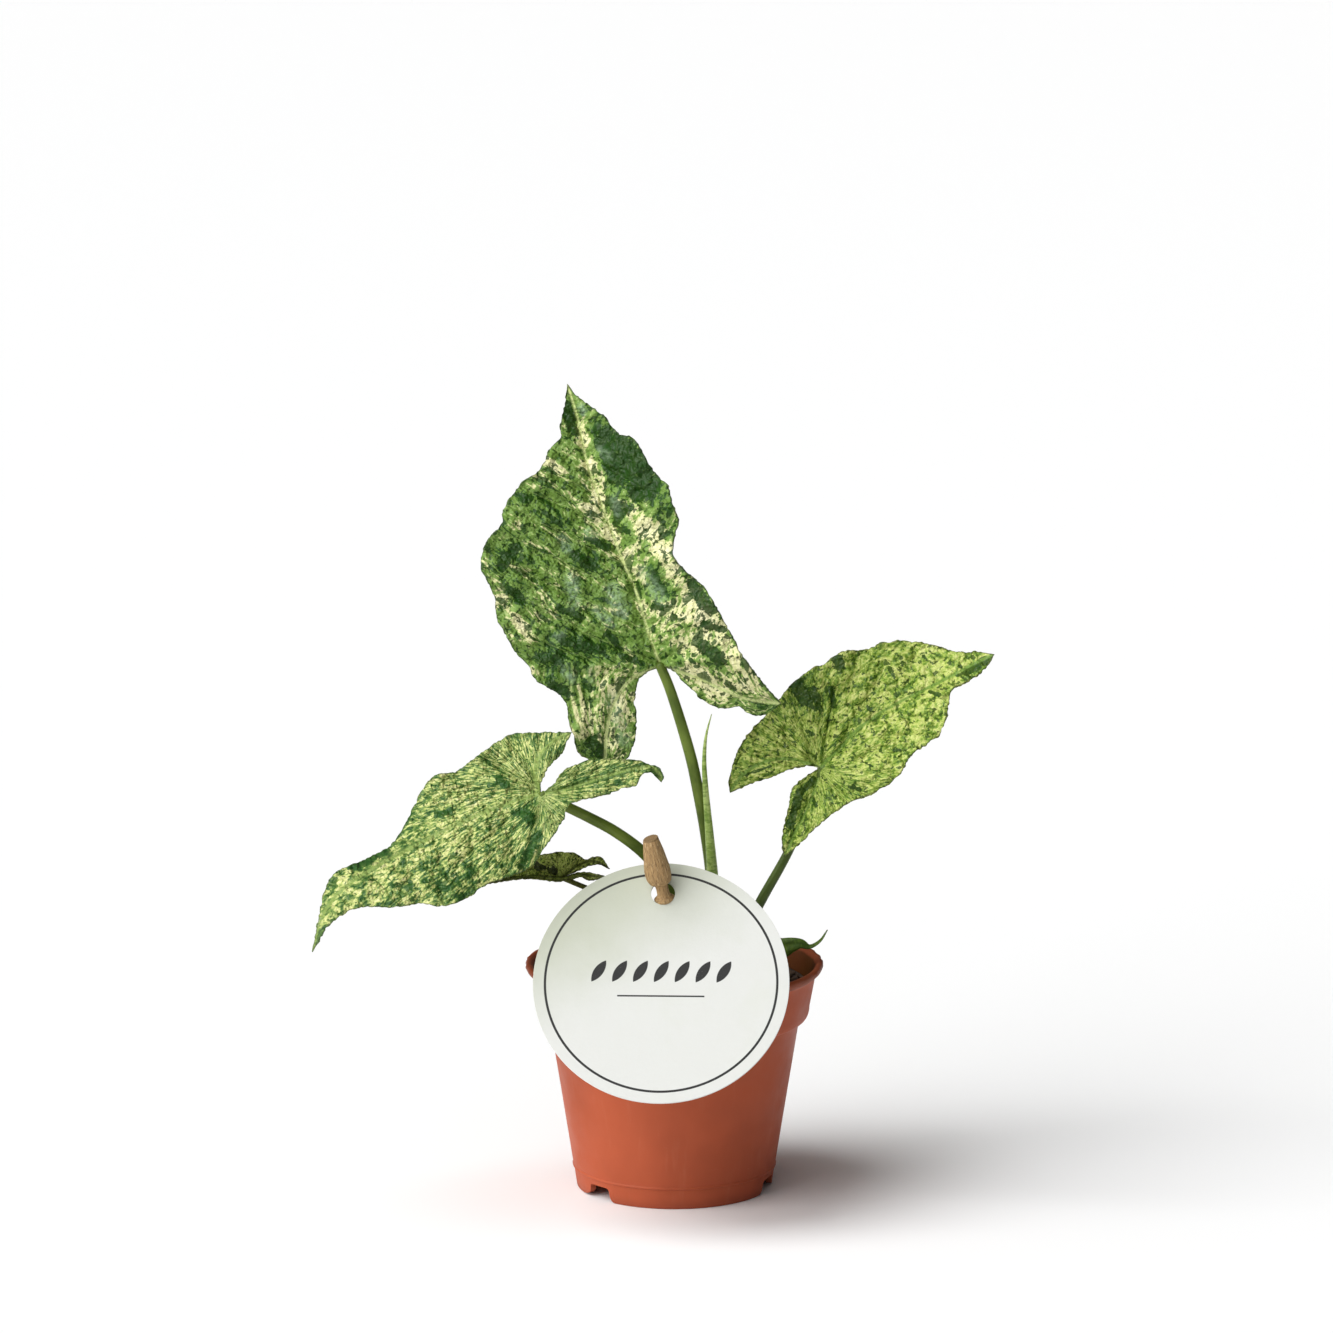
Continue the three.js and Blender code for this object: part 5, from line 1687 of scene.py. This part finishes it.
SOFT_BOX_SIDE, SOFT_BOX_SPREAD = Vector((-0.75, -0.48, 0.45)), math.radians(50)
TOP_SIDE, TOP_SPREAD = Vector((-0.45, -0.12, 0.88)), math.radians(40)
GLOW_START, GLOW_FULL = 0.3, 0.95  # cosines of the angle from the soft box's middle
FLOOR_SIZE = 24


def studio_world(settings):
    """An even dome of light with one broad soft bright region, up to the left in front."""
    world = bpy.data.worlds.new("studio")
    world.use_nodes = True
    nodes, links = world.node_tree.nodes, world.node_tree.links
    toward = nodes.new("ShaderNodeTexCoord")
    facing = nodes.new("ShaderNodeVectorMath")
    facing.operation = "DOT_PRODUCT"
    facing.inputs[1].default_value = SOFT_BOX_SIDE.normalized()
    glow = nodes.new("ShaderNodeMapRange")
    glow.interpolation_type = "SMOOTHSTEP"
    for key, value in (
        ("From Min", GLOW_START), ("From Max", GLOW_FULL),
        ("To Min", settings.fill), ("To Max", settings.soft_box),
    ):
        glow.inputs[key].default_value = value
    links.new(toward.outputs["Generated"], facing.inputs[0])
    links.new(facing.outputs["Value"], glow.inputs["Value"])
    links.new(glow.outputs["Result"], nodes["Background"].inputs["Strength"])
    nodes["Background"].inputs["Color"].default_value = (1, 1, 1, 1)
    return world


def add_floor(shade):
    """A wide matt floor level with the pot's foot."""
    deselect_all()
    bpy.ops.mesh.primitive_plane_add(size=FLOOR_SIZE, location=(0, 0, 0))
    floor = bpy.context.object
    floor.name = floor.data.name = "floor"
    paint = Painter("floor", Roughness=0.9)
    paint.paint(shade)
    floor.data.materials.append(paint.material)


def add_sun(side, strength, spread):
    """A soft light that shines from one side."""
    bpy.ops.object.light_add(type="SUN")
    sun = bpy.context.object
    sun.rotation_euler = side.to_track_quat("Z", "Y").to_euler()
    sun.data.energy = strength
    sun.data.angle = spread


def add_camera():
    """The camera at EYE, looking a little down at the plant."""
    bpy.ops.object.camera_add(
        location=POT_AXIS + EYE * MM, rotation=(math.pi / 2 - EYE_PITCH, 0, 0)
    )
    camera = bpy.context.object
    camera.data.lens = LENS_MM
    camera.data.sensor_width = SENSOR_MM
    camera.data.clip_end = VIEW_END
    bpy.context.scene.camera = camera


class ARROWHEAD_OT_stage(bpy.types.Operator):
    """Set up the floor, the lights and the camera"""

    bl_idname = "arrowhead.stage"
    bl_label = "Set up stage"

    def execute(self, context):
        settings = context.scene.arrowhead_stage
        context.scene.view_settings.view_transform = "Standard"
        add_floor(settings.floor)
        context.scene.world = studio_world(settings)
        add_sun(SOFT_BOX_SIDE, settings.sun, SOFT_BOX_SPREAD)
        add_sun(TOP_SIDE, settings.top, TOP_SPREAD)
        add_camera()
        return {"FINISHED"}


class ARROWHEAD_PT_panel(bpy.types.Panel):
    """The plant's settings and its building steps"""

    bl_idname = "ARROWHEAD_PT_panel"
    bl_label = "Arrowhead plant"
    bl_space_type = "VIEW_3D"
    bl_region_type = "UI"
    bl_category = "Arrowhead"

    def draw(self, context):
        for group, steps in PANEL_ROWS:
            box = self.layout.box()
            settings = getattr(context.scene, group)
            for key in settings.__annotations__:
                box.prop(settings, key)
            for step in steps:
                box.operator(step)


PANEL_ROWS = (
    ("arrowhead_pot", ("arrowhead.pot", "arrowhead.soil")),
    ("arrowhead_leaf", ("arrowhead.stalks", "arrowhead.blades")),
    ("arrowhead_tag", ("arrowhead.tag",)),
    ("arrowhead_stage", ("arrowhead.stage",)),
)
SETTINGS = {
    "arrowhead_pot": PotSettings,
    "arrowhead_leaf": LeafSettings,
    "arrowhead_tag": TagSettings,
    "arrowhead_stage": StageSettings,
}
CLASSES = (
    *SETTINGS.values(),
    ARROWHEAD_OT_pot,
    ARROWHEAD_OT_soil,
    ARROWHEAD_OT_stalks,
    ARROWHEAD_OT_blades,
    ARROWHEAD_OT_tag,
    ARROWHEAD_OT_stage,
    ARROWHEAD_PT_panel,
)


def register():
    for item in CLASSES:
        bpy.utils.register_class(item)
    for name, group in SETTINGS.items():
        setattr(bpy.types.Scene, name, bpy.props.PointerProperty(type=group))


def unregister():
    for name in SETTINGS:
        delattr(bpy.types.Scene, name)
    for item in reversed(CLASSES):
        bpy.utils.unregister_class(item)


def main():
    register()
    bpy.ops.arrowhead.stage()
    bpy.ops.arrowhead.pot()
    bpy.ops.arrowhead.soil()
    bpy.ops.arrowhead.stalks()
    bpy.ops.arrowhead.blades()
    bpy.ops.arrowhead.tag()


if __name__ == "__main__":
    main()
